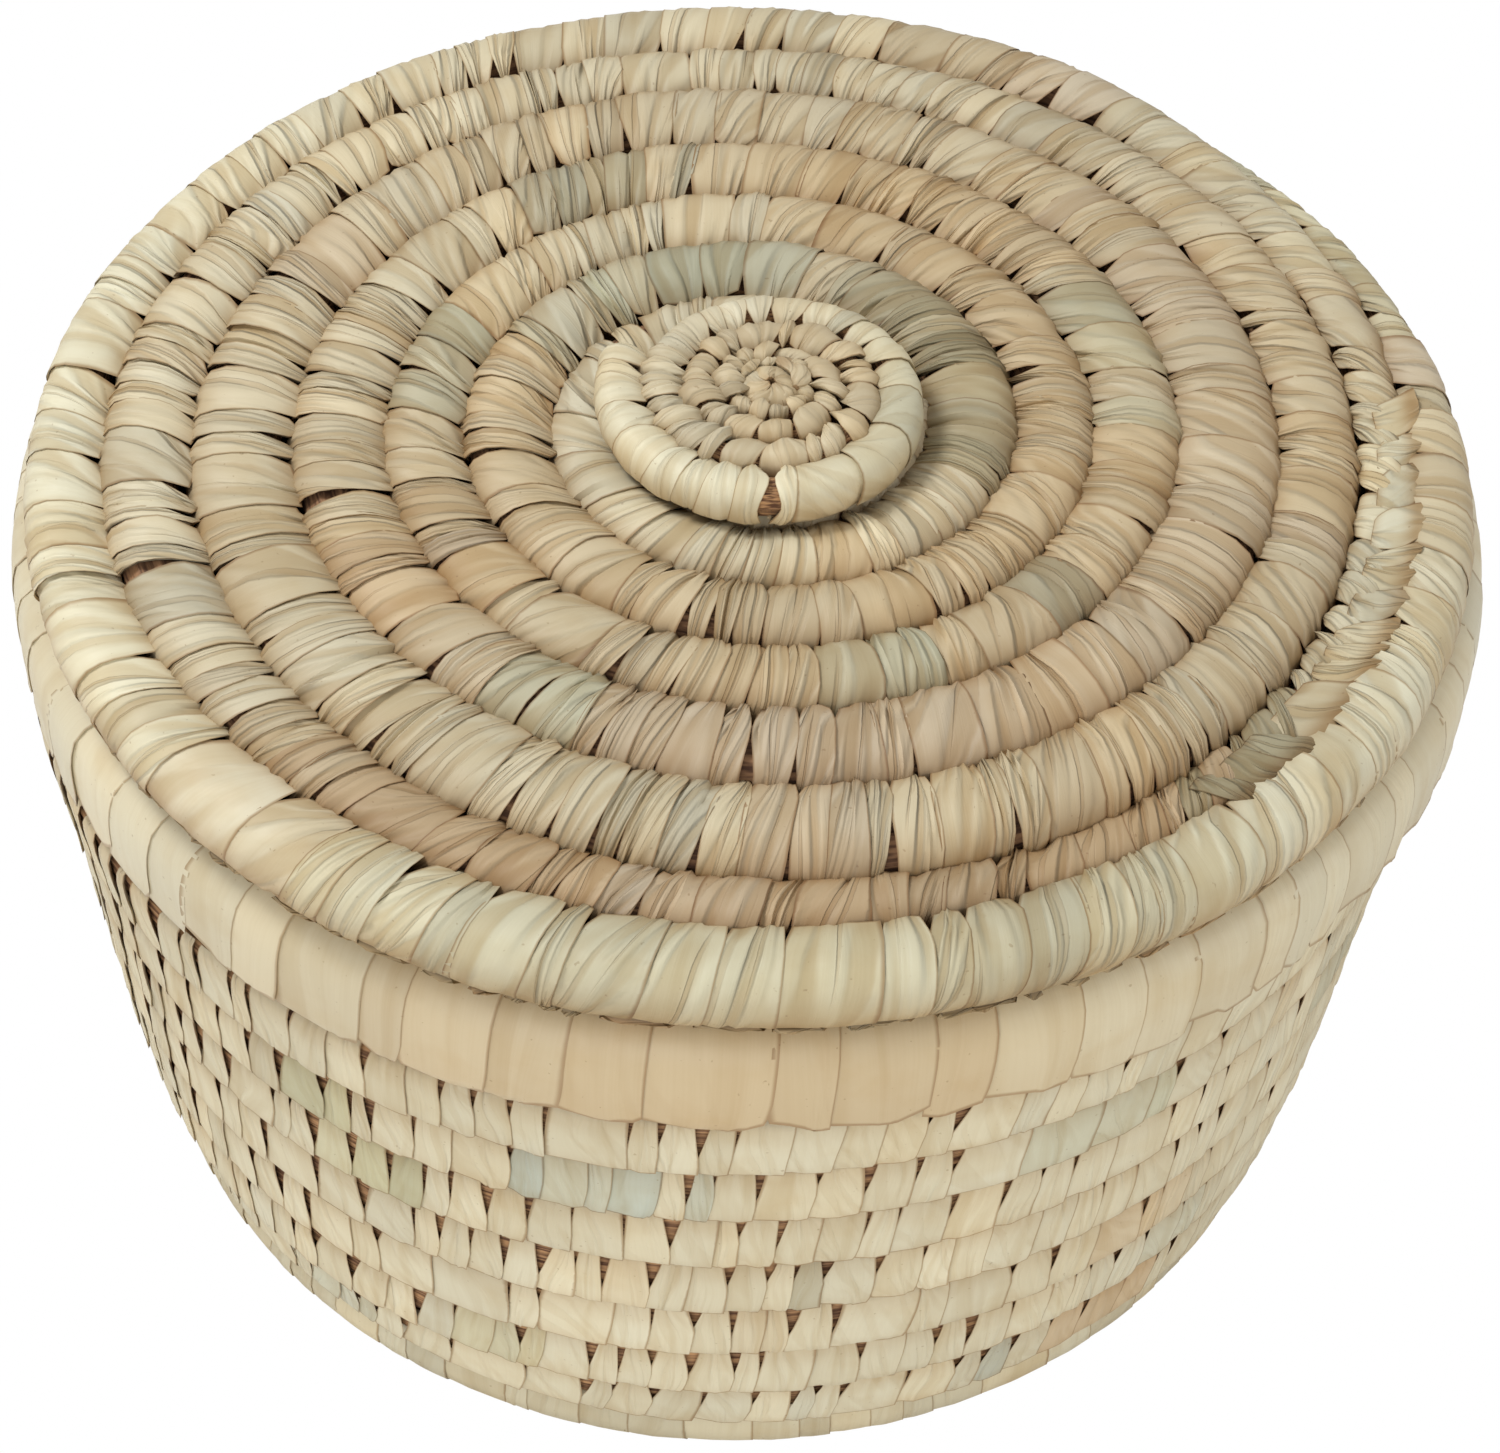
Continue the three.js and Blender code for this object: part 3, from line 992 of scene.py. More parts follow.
def ribbon(sheaf: Sheaf, line: Array, up: Array, half: Array, look: StripLook, tone: Colour,
           rng: np.random.Generator) -> None:
    """Adds one leaf strip along a free line.

    Args:
        sheaf: where it goes.
        line: its middle line, (rows, 3).
        up: the way its surface faces, (rows, 3).
        half: its half width at each row.
        look: how its surface is shaped.
        tone: its linear colour.
        rng: the source of chance.
    """
    up = unit(up)
    side = unit(np.cross(np.gradient(line, axis=0), up))
    across = look.cuts(1, rng)
    lift = look.lift(across, np.linspace(0, 1, len(line)), np.zeros((1, len(line))), rng)[0]
    sideways = side[:, None] * (half[:, None] * across[0])[..., None]
    top = line[:, None] + sideways + up[:, None] * lift[..., None]
    below = look.below(top, np.broadcast_to(up[:, None], top.shape))
    close_strips(sheaf, top[None], below[None], across, np.array([tone]), rng)


def core_tube(sheaf: Sheaf, coil: Coil, rng: np.random.Generator, inset: float = 1.5 * MM, power: float = 2.4,
              sides: int = 24, per_turn: int = 64) -> None:
    """Adds the bundle of stem fibre inside a coil, as one closed tube with ridges along it.

    The section is a superellipse |a|^power + |b|^power = 1, and each side of it stands a little
    higher or lower than the next, so the bundle shows as separate stems.

    Args:
        sheaf: where the tube goes.
        coil: the coil that the bundle fills.
        rng: the source of chance.
        inset: how far inside the coil's surface it lies.
        power: how square the section is.
        sides: stems round the bundle.
        per_turn: rings in each turn.
    """
    stations = max(8, round((coil.last - coil.first) * per_turn))
    turn = np.repeat(np.linspace(coil.first, coil.last, stations)[:, None], sides, 1)
    angle = np.linspace(0, 2 * np.pi, sides, endpoint=False)
    cos, sin = np.cos(angle), np.sin(angle)
    size = (np.abs(cos) ** power + np.abs(sin) ** power) ** (-1 / power)
    ridge = 1 - 0.05 * (np.arange(sides) % 2) + 0.03 * rng.normal(0, 1, (1, sides))
    section = coil.section(turn, inset=coil.inset + inset)
    place = np.stack([np.broadcast_to(angle / (2 * np.pi), turn.shape), turn, np.full_like(turn, 0.5)], -1)
    closed_tube(sheaf, coil.place(turn, section.point(cos * size * ridge, sin * size * ridge)), place)


# Finishes


class Nodes:
    """Small helper that adds nodes to a tree and joins them."""

    def __init__(self, tree: bpy.types.NodeTree) -> None:
        """Keeps the tree.

        Args:
            tree: the node tree to build in.
        """
        self.tree = tree

    def add(self, kind: str, settings: dict | None = None, **inputs: Input) -> bpy.types.Node:
        """Adds a node.

        Args:
            kind: the node's type name.
            settings: values of its own properties.
            **inputs: sockets by name, with _ for a space, or by number as i0, i1 and so on, each a
                value or another node's output.

        Returns:
            The node.
        """
        node = self.tree.nodes.new(kind)
        for name, value in (settings or {}).items():
            setattr(node, name, value)
        for name, value in inputs.items():
            numbered = name[0] == "i" and name[1:].isdigit()
            socket = node.inputs[int(name[1:]) if numbered else name.replace("_", " ")]
            if isinstance(value, bpy.types.NodeSocket):
                self.tree.links.new(value, socket)
            else:
                socket.default_value = value
        return node

    def math(self, operation: str, first: Input, second: Input = 0.0,
             third: Input = 0.0) -> bpy.types.NodeSocket:
        """A sum on numbers.

        Args:
            operation: the name of the operation.
            first: first number or socket.
            second: second number or socket.
            third: third number or socket.

        Returns:
            The result's socket.
        """
        return self.add("ShaderNodeMath", {"operation": operation}, i0=first, i1=second, i2=third).outputs[0]

    def band(self, value: Input, low: float, high: float, to_low: float = 0.0,
             to_high: float = 1.0) -> bpy.types.NodeSocket:
        """A smooth step of a number.

        Args:
            value: the number's socket.
            low: where the step starts.
            high: where it ends.
            to_low: the result below the step.
            to_high: the result above it.

        Returns:
            The result's socket.
        """
        settings = {"interpolation_type": "SMOOTHSTEP"}
        return self.add("ShaderNodeMapRange", settings, Value=value, i1=low, i2=high, i3=to_low,
                        i4=to_high).outputs[0]

    def tint(self, share: Input, first: Input, second: Input,
             blend: str = "MULTIPLY") -> bpy.types.NodeSocket:
        """Mixes two colours.

        Args:
            share: how much of the second, a number or socket.
            first: first colour or socket.
            second: second colour or socket.
            blend: how they are mixed.

        Returns:
            The colour's socket.
        """
        node = self.add("ShaderNodeMix", {"data_type": "RGBA", "blend_type": blend})
        for socket, value in ((node.inputs[0], share), (node.inputs[6], first), (node.inputs[7], second)):
            if isinstance(value, bpy.types.NodeSocket):
                self.tree.links.new(value, socket)
            else:
                socket.default_value = (*value, 1.0) if isinstance(value, tuple) else value
        return node.outputs[2]

    def noise(self, x: Input, y: Input, z: Input = 0.0, detail: float = 1.0) -> bpy.types.NodeSocket:
        """Noise at a point worked out by other nodes.

        Args:
            x: first number or socket.
            y: second number or socket.
            z: third number or socket.
            detail: how fine it gets.

        Returns:
            The noise's socket.
        """
        vector = self.add("ShaderNodeCombineXYZ", X=x, Y=y, Z=z).outputs[0]
        return self.add("ShaderNodeTexNoise", Vector=vector, Scale=1.0, Detail=detail).outputs[0]

    def attribute(self, name: str, output: str = "Vector") -> bpy.types.NodeSocket:
        """Reads what each vertex carries under a name.

        Args:
            name: the attribute's name.
            output: which of the node's outputs is read.

        Returns:
            That output's socket.
        """
        return self.add("ShaderNodeAttribute", {"attribute_name": name}).outputs[output]


def emptied(owner: bpy.types.Material | bpy.types.World) -> Nodes:
    """Switches a new material's or world's nodes on and clears them.

    Args:
        owner: the material or world.

    Returns:
        The helper for its tree.
    """
    owner.use_nodes = True
    owner.node_tree.nodes.clear()
    return Nodes(owner.node_tree)


def leaf_group() -> bpy.types.NodeTree:
    """The leaf strip's shared effects: veins and sharp folds along it, a brown edge, dry stains, and painted
    shade along the creases, in the fold hollows and towards the strip's ends.

    Returns:
        A node group with the outputs Colour and Height.
    """
    found = bpy.data.node_groups.get("Leaf strip")
    if found:
        return found
    group = bpy.data.node_groups.new("Leaf strip", "ShaderNodeTree")
    for name, kind, way in (("Place", "Vector", "INPUT"), ("Tone", "Color", "INPUT"),
                            ("Edge", "Float", "INPUT"), ("Folds", "Float", "INPUT"),
                            ("Shade", "Float", "INPUT"), ("Colour", "Color", "OUTPUT"),
                            ("Height", "Float", "OUTPUT")):
        group.interface.new_socket(name, in_out=way, socket_type=f"NodeSocket{kind}")
    nodes = Nodes(group)
    taken = nodes.add("NodeGroupInput").outputs
    across, along, chance = nodes.add("ShaderNodeSeparateXYZ", Vector=taken["Place"]).outputs
    slant = nodes.math("MULTIPLY", nodes.math("MULTIPLY_ADD", chance, -1.3, 0.2), along)
    own = nodes.math("MULTIPLY", chance, 173.0)

    def streaks(times_across: float, times_along: float, detail: float, lean: float = 0.0) -> Input:
        """Noise drawn out along the strip, different on each one and slanted by lean.

        Args:
            times_across: how often it changes across the strip.
            times_along: how often it changes along it.
            detail: how fine it gets.
            lean: how far it runs across on the way along, by more or less on each strip.

        Returns:
            The noise's socket.
        """
        x = nodes.math("MULTIPLY_ADD", slant, lean, nodes.math("MULTIPLY", across, times_across))
        return nodes.noise(x, nodes.math("MULTIPLY", along, times_along), own, detail)

    veins = streaks(38.0, 0.5, 1.0)
    broad = streaks(3.0, 0.4, 1.0)
    # The crease lines sink in the bump, and the colour table below also paints shade along them.
    crease = nodes.math("MULTIPLY", nodes.band(streaks(7.0, 0.5, 0.0, 5.0), 0.64, 0.74), taken["Folds"])
    drape = nodes.band(streaks(4.0, 1.0, 0.0, 5.0), 0.3, 0.7)
    # Painted shade in the hollows of the drape folds, where they lie low.
    fold_hollow_shade = nodes.math("MULTIPLY", nodes.band(drape, 0.45, 0.0), taken["Folds"])
    where = nodes.add("ShaderNodeTexCoord").outputs["Object"]
    stains = nodes.add("ShaderNodeTexNoise", Vector=where, Scale=55.0, Detail=3.0).outputs[0]
    specks = nodes.add("ShaderNodeTexNoise", Vector=where, Scale=620.0, Detail=1.0).outputs[0]
    side = nodes.math("ABSOLUTE", nodes.math("MULTIPLY_ADD", across, 2.0, -1.0))
    edge = nodes.math("MULTIPLY", nodes.band(side, 0.93, 0.99), taken["Edge"])
    tip = nodes.math("MULTIPLY", nodes.band(along, 0.965, 0.99), taken["Edge"])
    # Painted shade towards the strip's ends: dark and warm towards the first end, where it dives into the
    # valley between turns, and fainter towards the last end.
    first_shade = nodes.math("MULTIPLY", taken["Shade"], 1.7)
    first_shade = nodes.math("MULTIPLY", nodes.band(along, 0.56, 0.16), first_shade)
    last_shade = nodes.math("MULTIPLY", nodes.band(along, 0.72, 1.0), taken["Shade"])
    colour = taken["Tone"]
    # Darkenings, in order: vein grain, lows of the broad relief, dry stains, painted shade along creases,
    # painted shade in fold hollows, specks, painted shade towards the first and the last end, and the brown
    # leaf edge and tip.
    for share, tone in ((nodes.band(veins, 0.35, 0.7, 0.0, 0.15), (0.88, 0.83, 0.74)),
                        (nodes.band(broad, 0.5, 0.25, 0.0, 0.5), (0.84, 0.77, 0.66)),
                        (nodes.band(stains, 0.45, 0.75, 0.0, 0.5), (0.90, 0.82, 0.70)),
                        (nodes.math("MULTIPLY", crease, 0.4), (0.70, 0.58, 0.44)),
                        (nodes.math("MULTIPLY", fold_hollow_shade, 0.6), (0.74, 0.64, 0.50)),
                        (nodes.band(specks, 0.74, 0.80, 0.0, 0.4), (0.45, 0.32, 0.20)),
                        (first_shade, (0.58, 0.42, 0.27)),
                        (last_shade, (0.66, 0.50, 0.35)),
                        (nodes.math("MAXIMUM", edge, tip), (0.52, 0.38, 0.26))):
        colour = nodes.tint(share, colour, tone)
    height = nodes.math("MULTIPLY_ADD", veins, 0.05, nodes.math("MULTIPLY", broad, 0.3))
    height = nodes.math("MULTIPLY_ADD", crease, -0.3, height)
    height = nodes.math("MULTIPLY_ADD", nodes.math("MULTIPLY", drape, taken["Folds"]), 0.9, height)
    nodes.add("NodeGroupOutput", Colour=colour, Height=height)
    return group


@dataclass(frozen=True)
class LeafFinish:
    """Dry palm leaf: matt to faintly waxy, with its grain along the strip.

    edge says how strong its brown edges are, folds how strong its slanting folds and the painted shade along
    them, and shade how strong the painted shade towards its ends.
    relief is the height in metres that bump is a share of.
    """

    name: str
    roughness: float = 0.6
    edge: float = 0.8
    folds: float = 1.0
    bump: float = 0.6
    shade: float = 0.5
    relief: float = 0.0014
    specular: float = 0.35

    def build(self) -> bpy.types.Material:
        """Makes the material.

        Returns:
            The material.
        """
        material = bpy.data.materials.new(self.name)
        nodes = emptied(material)
        detail = nodes.add("ShaderNodeGroup", {"node_tree": leaf_group()}, Place=nodes.attribute("place"),
                           Tone=nodes.attribute("tone", "Color"), Edge=self.edge, Folds=self.folds,
                           Shade=self.shade).outputs
        bump = nodes.add("ShaderNodeBump", Strength=self.bump, Distance=self.relief, Height=detail["Height"])
        shader = nodes.add("ShaderNodeBsdfPrincipled", Base_Color=detail["Colour"], Roughness=self.roughness,
                           Specular_IOR_Level=self.specular, Normal=bump.outputs[0])
        nodes.add("ShaderNodeOutputMaterial", Surface=shader.outputs[0])
        return material


@dataclass(frozen=True)
class FibreFinish:
    """Bundled brown stems: matt, with light and dark stems side by side.

    times says how often the stems change round the bundle and in each turn along it.
    """

    name: str
    dark: Colour = linear(98, 64, 42)
    light: Colour = linear(196, 150, 104)
    times: tuple[float, float] = (46.0, 60.0)
    roughness: float = 0.8
    bump: float = 0.7
    relief: float = 0.0008

    def build(self) -> bpy.types.Material:
        """Makes the material.

        Returns:
            The material.
        """
        material = bpy.data.materials.new(self.name)
        nodes = emptied(material)
        axes = nodes.add("ShaderNodeSeparateXYZ", Vector=nodes.attribute("place")).outputs
        x, y = (nodes.math("MULTIPLY", axis, times) for axis, times in zip(axes, self.times))
        stems = nodes.noise(x, y, detail=2.0)
        colour = nodes.tint(nodes.band(stems, 0.35, 0.65), self.dark, self.light, "MIX")
        bump = nodes.add("ShaderNodeBump", Strength=self.bump, Distance=self.relief, Height=stems)
        shader = nodes.add("ShaderNodeBsdfPrincipled", Base_Color=colour, Roughness=self.roughness,
                           Normal=bump.outputs[0])
        nodes.add("ShaderNodeOutputMaterial", Surface=shader.outputs[0])
        return material


@dataclass(frozen=True)
class Finishes:
    """The finishes of the whole basket."""

    body: bpy.types.Material
    rim: bpy.types.Material
    lid: bpy.types.Material
    knob: bpy.types.Material
    core: bpy.types.Material
    # deep is a darker copy of the stem fibre: its darkness is painted shade for the lid's core, down in the
    # valleys between its rings.
    deep: bpy.types.Material

    @classmethod
    def make(cls) -> "Finishes":
        """Builds each finish once.

        Returns:
            All the finishes.
        """
        kinds = (LeafFinish("Leaf, body", roughness=0.62, folds=0.35, bump=0.6, shade=0.2),
                 LeafFinish("Leaf, rim", roughness=0.42, edge=0.7, folds=0.12, bump=0.4, shade=0.1),
                 LeafFinish("Leaf, lid", roughness=0.54, bump=0.9),
                 LeafFinish("Leaf, knob", roughness=0.52, folds=0.45, bump=0.8, shade=0.35),
                 FibreFinish("Stem fibre"),
                 # The second fibre is darker as painted shade for the valleys.
                 FibreFinish("Stem fibre, painted valley shade", linear(88, 58, 40), linear(168, 126, 90)))
        return cls(*(kind.build() for kind in kinds))


# Where the loose lid lies, a little off the middle of the basket
LID_CENTRE: Place = (0.0027, -0.0079)

# Lines round a section, as (a, b): a is 1 at the far neighbour and -1 at the near one, b is 1 at the face
RING_TOP = ((0.90, -0.28), (1.02, 0.05), (1.0, 0.38), (0.84, 0.70), (0.48, 0.93), (0.0, 1.0), (-0.48, 0.95),
            (-0.82, 0.80), (-1.02, 0.69), (-1.16, 0.61), (-1.34, 0.46))
RIM_TOP = ((0.30, -0.99), (0.76, -0.86), (0.98, -0.45), (1.02, 0.05), (0.93, 0.45), (0.70, 0.80),
           (0.30, 0.99), (-0.15, 1.0), (-0.58, 0.90), (-0.90, 0.76), (-1.08, 0.68), (-1.22, 0.60),
           (-1.36, 0.48))
LID_EDGE = ((0.30, -0.97), (0.68, -0.76), (0.92, -0.38), *RIM_TOP[3:])
RING_UNDER = tuple((a, -b) for a, b in RING_TOP[3:])
WHOLE_WRAP = ((-1.10, -0.62), (-0.75, -0.86), (-0.1, -1.0), (0.55, -0.90), (0.95, -0.45), (1.0, 0.0),
              (0.95, 0.45), (0.55, 0.90), (-0.1, 1.0), (-0.75, 0.86), (-1.10, 0.60))
WALL_OUT = ((0.99, 0.60), (0.93, 0.80), (0.70, 0.92), (0.30, 0.98), (-0.15, 1.0), (-0.60, 1.0), (-1.0, 1.03),
            (-1.20, 1.02), (-1.32, 0.90))
WALL_IN = tuple((a, -b) for a, b in WALL_OUT)
RIM_WRAP = ((-0.95, -0.80), (-0.55, -0.99), (0.1, -1.0), (0.70, -0.86), (0.97, -0.45), (1.0, 0.0),
            (0.96, 0.48), (0.72, 0.84), (0.25, 0.99), (-0.30, 1.02), (-0.80, 1.0), (-1.10, 1.0),
            (-1.23, 0.94), (-1.30, 0.82))
TIE_WRAP = ((-0.9, -0.5), (-0.4, -0.95), (0.4, -0.95), (0.95, -0.4), (0.95, 0.4), (0.4, 0.95), (-0.4, 0.95),
            (-0.9, 0.5))
CROSSING = ((1.04, 0.30), (0.80, 0.78), (0.40, 0.98), (0.0, 1.06), (-0.45, 1.0), (-0.88, 0.84), (-1.10, 0.62))
CROSSING_OVER = ((1.62, 1.0), (1.3, 1.04), (1.0, 1.02), (0.6, 1.05), (0.1, 1.12), (-0.4, 1.08))


@dataclass
class BasketBase:
    """The flat coil of the base, with the knot of strips in its eye."""

    radius: float = 0.183
    coil_width: float = 0.0276
    thickness: float = 0.0235
    eye: float = 0.007
    tail_width: float = 0.008
    knot_foot: float = 0.0012
    strip: float = 12 * MM
    tones: Tones = Tones(((0, Leaf.STRAW), (4, Leaf.CREAM), (7, Leaf.CREAM)), odd=(Leaf.MOSS, Leaf.TAN),
                         odd_chance=0.06)

    def coil(self) -> Coil:
        """The base's coil.

        Returns:
            The coil, in the frame of the part.
        """
        seam = SpiralSeam(self.eye, self.radius, self.coil_width, self.tail_width, level=self.thickness / 2)
        return Coil(seam, START, seam.last, start_angle=60, thickness=self.thickness,
                    full_width=self.coil_width / 2, inset=0.0011)

    def build(self, finishes: Finishes, rng: np.random.Generator) -> None:
        """Makes the wrapped coil, its core and the heart.

        Args:
            finishes: the materials.
            rng: the source of chance.
        """
        coil = self.coil()
        strips, core, heart = Sheaf(), Sheaf(), Sheaf()
        look = StripLook(arch=0.15 * MM, puff=0.2 * MM, fold=0.3 * MM, rise=0.1 * MM, creases=2, calm=0.5)
        wrap = Wrap(WHOLE_WRAP, width=self.strip, rows=13, lead=0.0, look=look, last_end=End(arc=0.03))
        wrap_coil(strips, coil, wrap, self.tones, rng)
        core_tube(core, coil, rng, sides=16)
        low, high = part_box("base_heart")
        knot(heart, (0.0, 0.0), self.eye, (low.z + self.knot_foot, high.z), self.tones, rng)
        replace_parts(strips.object("base_wrap", finishes.body, "basket", "leaf_body"), "base_coil")
        core.object("base_core", finishes.core, "basket", "core_fibre")
        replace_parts(heart.object("base_knot", finishes.body, "basket", "leaf_body"), "base_heart")


def knot(sheaf: Sheaf, centre: Place, radius: float, span: tuple[float, float], tones: Tones,
         rng: np.random.Generator, petals: int = 8) -> None:
    """Adds a small round knot: a stub closed by petals that run in from its edge and twist.

    A petal's middle line comes up outside the stub, turns in over it and ends near the axis, every
    other one a little lower. Its width falls off on the way.

    Args:
        sheaf: where the knot goes.
        centre: its axis.
        radius: its radius.
        span: its lowest and highest level.
        tones: the colours of its strips.
        rng: the source of chance.
        petals: strips round it.
    """
    low, high = span
    axis = np.array([*centre, 0.0])
    upright = np.array([0.0, 0.0, 1.0])
    look = StripLook(arch=0.8 * MM, fold=0.35 * MM, rise=0.1 * MM, creases=3)
    t = np.linspace(0, 1, 8)
    stages = [0, 0.22, 0.55, 1.0]
    reach = np.interp(t, stages, [1.0, 1.05, 0.72, 0.10]) * radius
    half = radius * np.interp(t, [0, 0.4, 0.8, 1.0], [0.52, 0.48, 0.30, 0.12])
    colours = tones.at(np.full(petals, 1.0), rng)
    for k, colour in enumerate(colours):
        angle = (k + rng.uniform(-0.15, 0.15)) / petals * 2 * np.pi + t * 0.6
        levels = [low, high - 0.0040, high - 0.0014, high - 0.0012 * (k % 2) - 0.0006]
        outer = np.stack([np.cos(angle), np.sin(angle), np.zeros_like(t)], -1)
        line = axis + outer * reach[:, None] + upright * np.interp(t, stages, levels)[:, None]
        up = outer * (1 - t)[:, None] + upright * (0.25 + 1.4 * t)[:, None]
        ribbon(sheaf, line, up, half, look, colour, rng)
    profile = np.array([(0.9, low + 0.0004), (0.92, high - 0.0048), (0.6, high - 0.0028),
                        (0.1, high - 0.0022)])
    rings = turned_rings(centre, radius, profile, np.linspace(0, 2 * np.pi, 16, endpoint=False))
    closed_tube(sheaf, rings, np.full(rings.shape, 0.5))


@dataclass
class BasketWall:
    """The wall: one helix of seven courses, thin at both ends."""

    courses: int = 7
    course: float = 0.0243
    bottom: float = 0.0235
    depth: float = 0.022
    strip: float = 11.0 * MM
    tones: Tones = Tones(((0, Leaf.SHELL), (3, Leaf.SHELL), (8, Leaf.CREAM)),
                         patches=((5.86, 5.90, Leaf.BLUE), (5.985, 6.02, Leaf.SAGE), (4.82, 4.86, Leaf.MOSS)),
                         odd=(Leaf.BLUE, Leaf.SAGE, Leaf.AMBER, Leaf.MOSS, Leaf.TAN, Leaf.STRAW, Leaf.GREY),
                         odd_chance=0.06, spread=0.045)

    def coil(self) -> Coil:
        """The wall's coil.

        Returns:
            The coil, in the frame of the part.
        """
        seam = WallSeam(self.bottom, self.courses * self.course, self.courses, radius=0.0, depth=self.depth)
        return Coil(seam, START, self.courses + 1 - START, start_angle=300, thickness=self.depth,
                    full_width=self.course, way=Across.WALL, inset=0.0005)

    def build(self, finishes: Finishes, rng: np.random.Generator) -> None:
        """Makes the outer wraps about two courses at a time, then the inner wraps and the core.

        Args:
            finishes: the materials.
            rng: the source of chance.
        """
        coil = self.coil()
        look = StripLook(arch=0.15 * MM, puff=0.2 * MM, fold=0.42 * MM, rise=0.15 * MM, lap=0.25 * MM,
                         depth=0.9 * MM, creases=3, calm=0.5)
        outside = Wrap(WALL_OUT, width=self.strip, spread=0.3, rows=9, lead=-2.5 * MM, lead_spread=0.8 * MM,
                       wedge=0.6 * MM, bow=0.4 * MM, overlap=0.8 * MM, look=look,
                       first_end=End(chance=0.75, least=1.0 * MM, most=3.5 * MM, reach=0.66, pointed=0.9,
                                     arc=0.0),
                       last_end=End(chance=0.35, least=0.2 * MM, most=1.0 * MM, reach=0.18, arc=0.055,
                                    cut=0.055))
        inside = replace(outside, path=WALL_IN, rows=6, look=replace(look, creases=2))
        stages = np.array([coil.first, 2, 4, 6, coil.last])
        for k, (start, end) in enumerate(zip(stages[:-1], stages[1:])):
            strips = Sheaf()
            wrap_coil(strips, coil, outside, self.tones, rng, start, end)
            obj = strips.object(f"wall_wrap_{k + 1}", finishes.body, "basket", "leaf_body")
            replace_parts(obj, "wall_coil")
        lining, core = Sheaf(), Sheaf()
        wrap_coil(lining, coil, inside, self.tones, rng)
        core_tube(core, coil, rng, inset=1.2 * MM, power=3.6, sides=26)
        lining.object("wall_lining", finishes.body, "basket", "leaf_body")
        core.object("wall_core", finishes.core, "basket", "core_fibre")


@dataclass
class BasketRim:
    """The thick rim coil with its lapped ends, and the stems that fill the seam under it.

    The filling reaches filling_low below the rim's node and up to filling_top under its top, and
    its middle lies filling_out outside the rim's. Its own seed leaves the other draws of chance alone.
    """

    width: float = 0.033
    centre: Place = (0.0028, 0.0)
    strip: float = 17 * MM
    filling_low: float = 0.006
    filling_top: float = 0.005
    filling_out: float = 0.0025
    filling_thickness: float = 0.009
    filling_seed: int = 7
    tones: Tones = Tones(((0, Leaf.SHELL), (0.45, Leaf.SHELL), (0.54, Leaf.TAN), (0.62, Leaf.TAN),
                          (0.7, Leaf.CREAM), (0.78, Leaf.SHELL), (1.3, Leaf.SHELL)),
                         odd=(Leaf.TAN, Leaf.CREAM), odd_chance=0.1, spread=0.03)

    def coil(self) -> Coil:
        """The rim's coil, between the levels of its node.

        Returns:
            The coil, in the frame of the part.
        """
        low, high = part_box("rim_coil")
        return lapped_coil(low.z, high.z, high.x - self.width / 2, self.width, full_width=0.016,
                           centre=self.centre)

    def filling(self) -> Coil:
        """The stems inside the wall's top course and the rim, which close the seam between them.

        Returns:
            One level turn, in the frame of the part.
        """
        low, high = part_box("rim_coil")
        bottom, top = low.z - self.filling_low, high.z - self.filling_top
        radius = high.x - self.width / 2 + self.filling_out
        seam = StackedSeam(bottom, top - bottom, climb=0.01, radius=radius)
        return Coil(seam, first=0.012, last=1.0, start_angle=240, thickness=self.filling_thickness,
                    full_width=0.016, way=Across.WALL, inset=0.0)

    def build(self, finishes: Finishes, rng: np.random.Generator) -> None:
        """Makes the wrapped rim, its core and the filling of the seam below it.

        Args:
            finishes: the materials.
            rng: the source of chance.
        """
        coil = self.coil()
        strips, core = Sheaf(), Sheaf()
        look = StripLook(arch=0.12 * MM, puff=0.1 * MM, fold=0.2 * MM, rise=0.12 * MM, creases=3, calm=0.6)
        wrap = Wrap(RIM_WRAP, width=self.strip, spread=0.28, rows=20, lead=-5 * MM, lead_spread=1.2 * MM,
                    wedge=1.0 * MM, overlap=1.8 * MM, look=look, first_end=End(chance=0.0),
                    last_end=End(chance=0.6, most=2.2 * MM, reach=0.12, arc=0.05, cut=0.05))
        wrap_coil(strips, coil, wrap, self.tones, rng)
        core_tube(core, coil, rng, power=3.0)
        core_tube(core, self.filling(), np.random.default_rng(self.filling_seed), inset=0.0, power=5.0,
                  sides=16)
        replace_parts(strips.object("rim_wrap", finishes.rim, "basket", "leaf_rim"), "rim_coil")
        core.object("rim_core", finishes.core, "basket", "core_fibre")


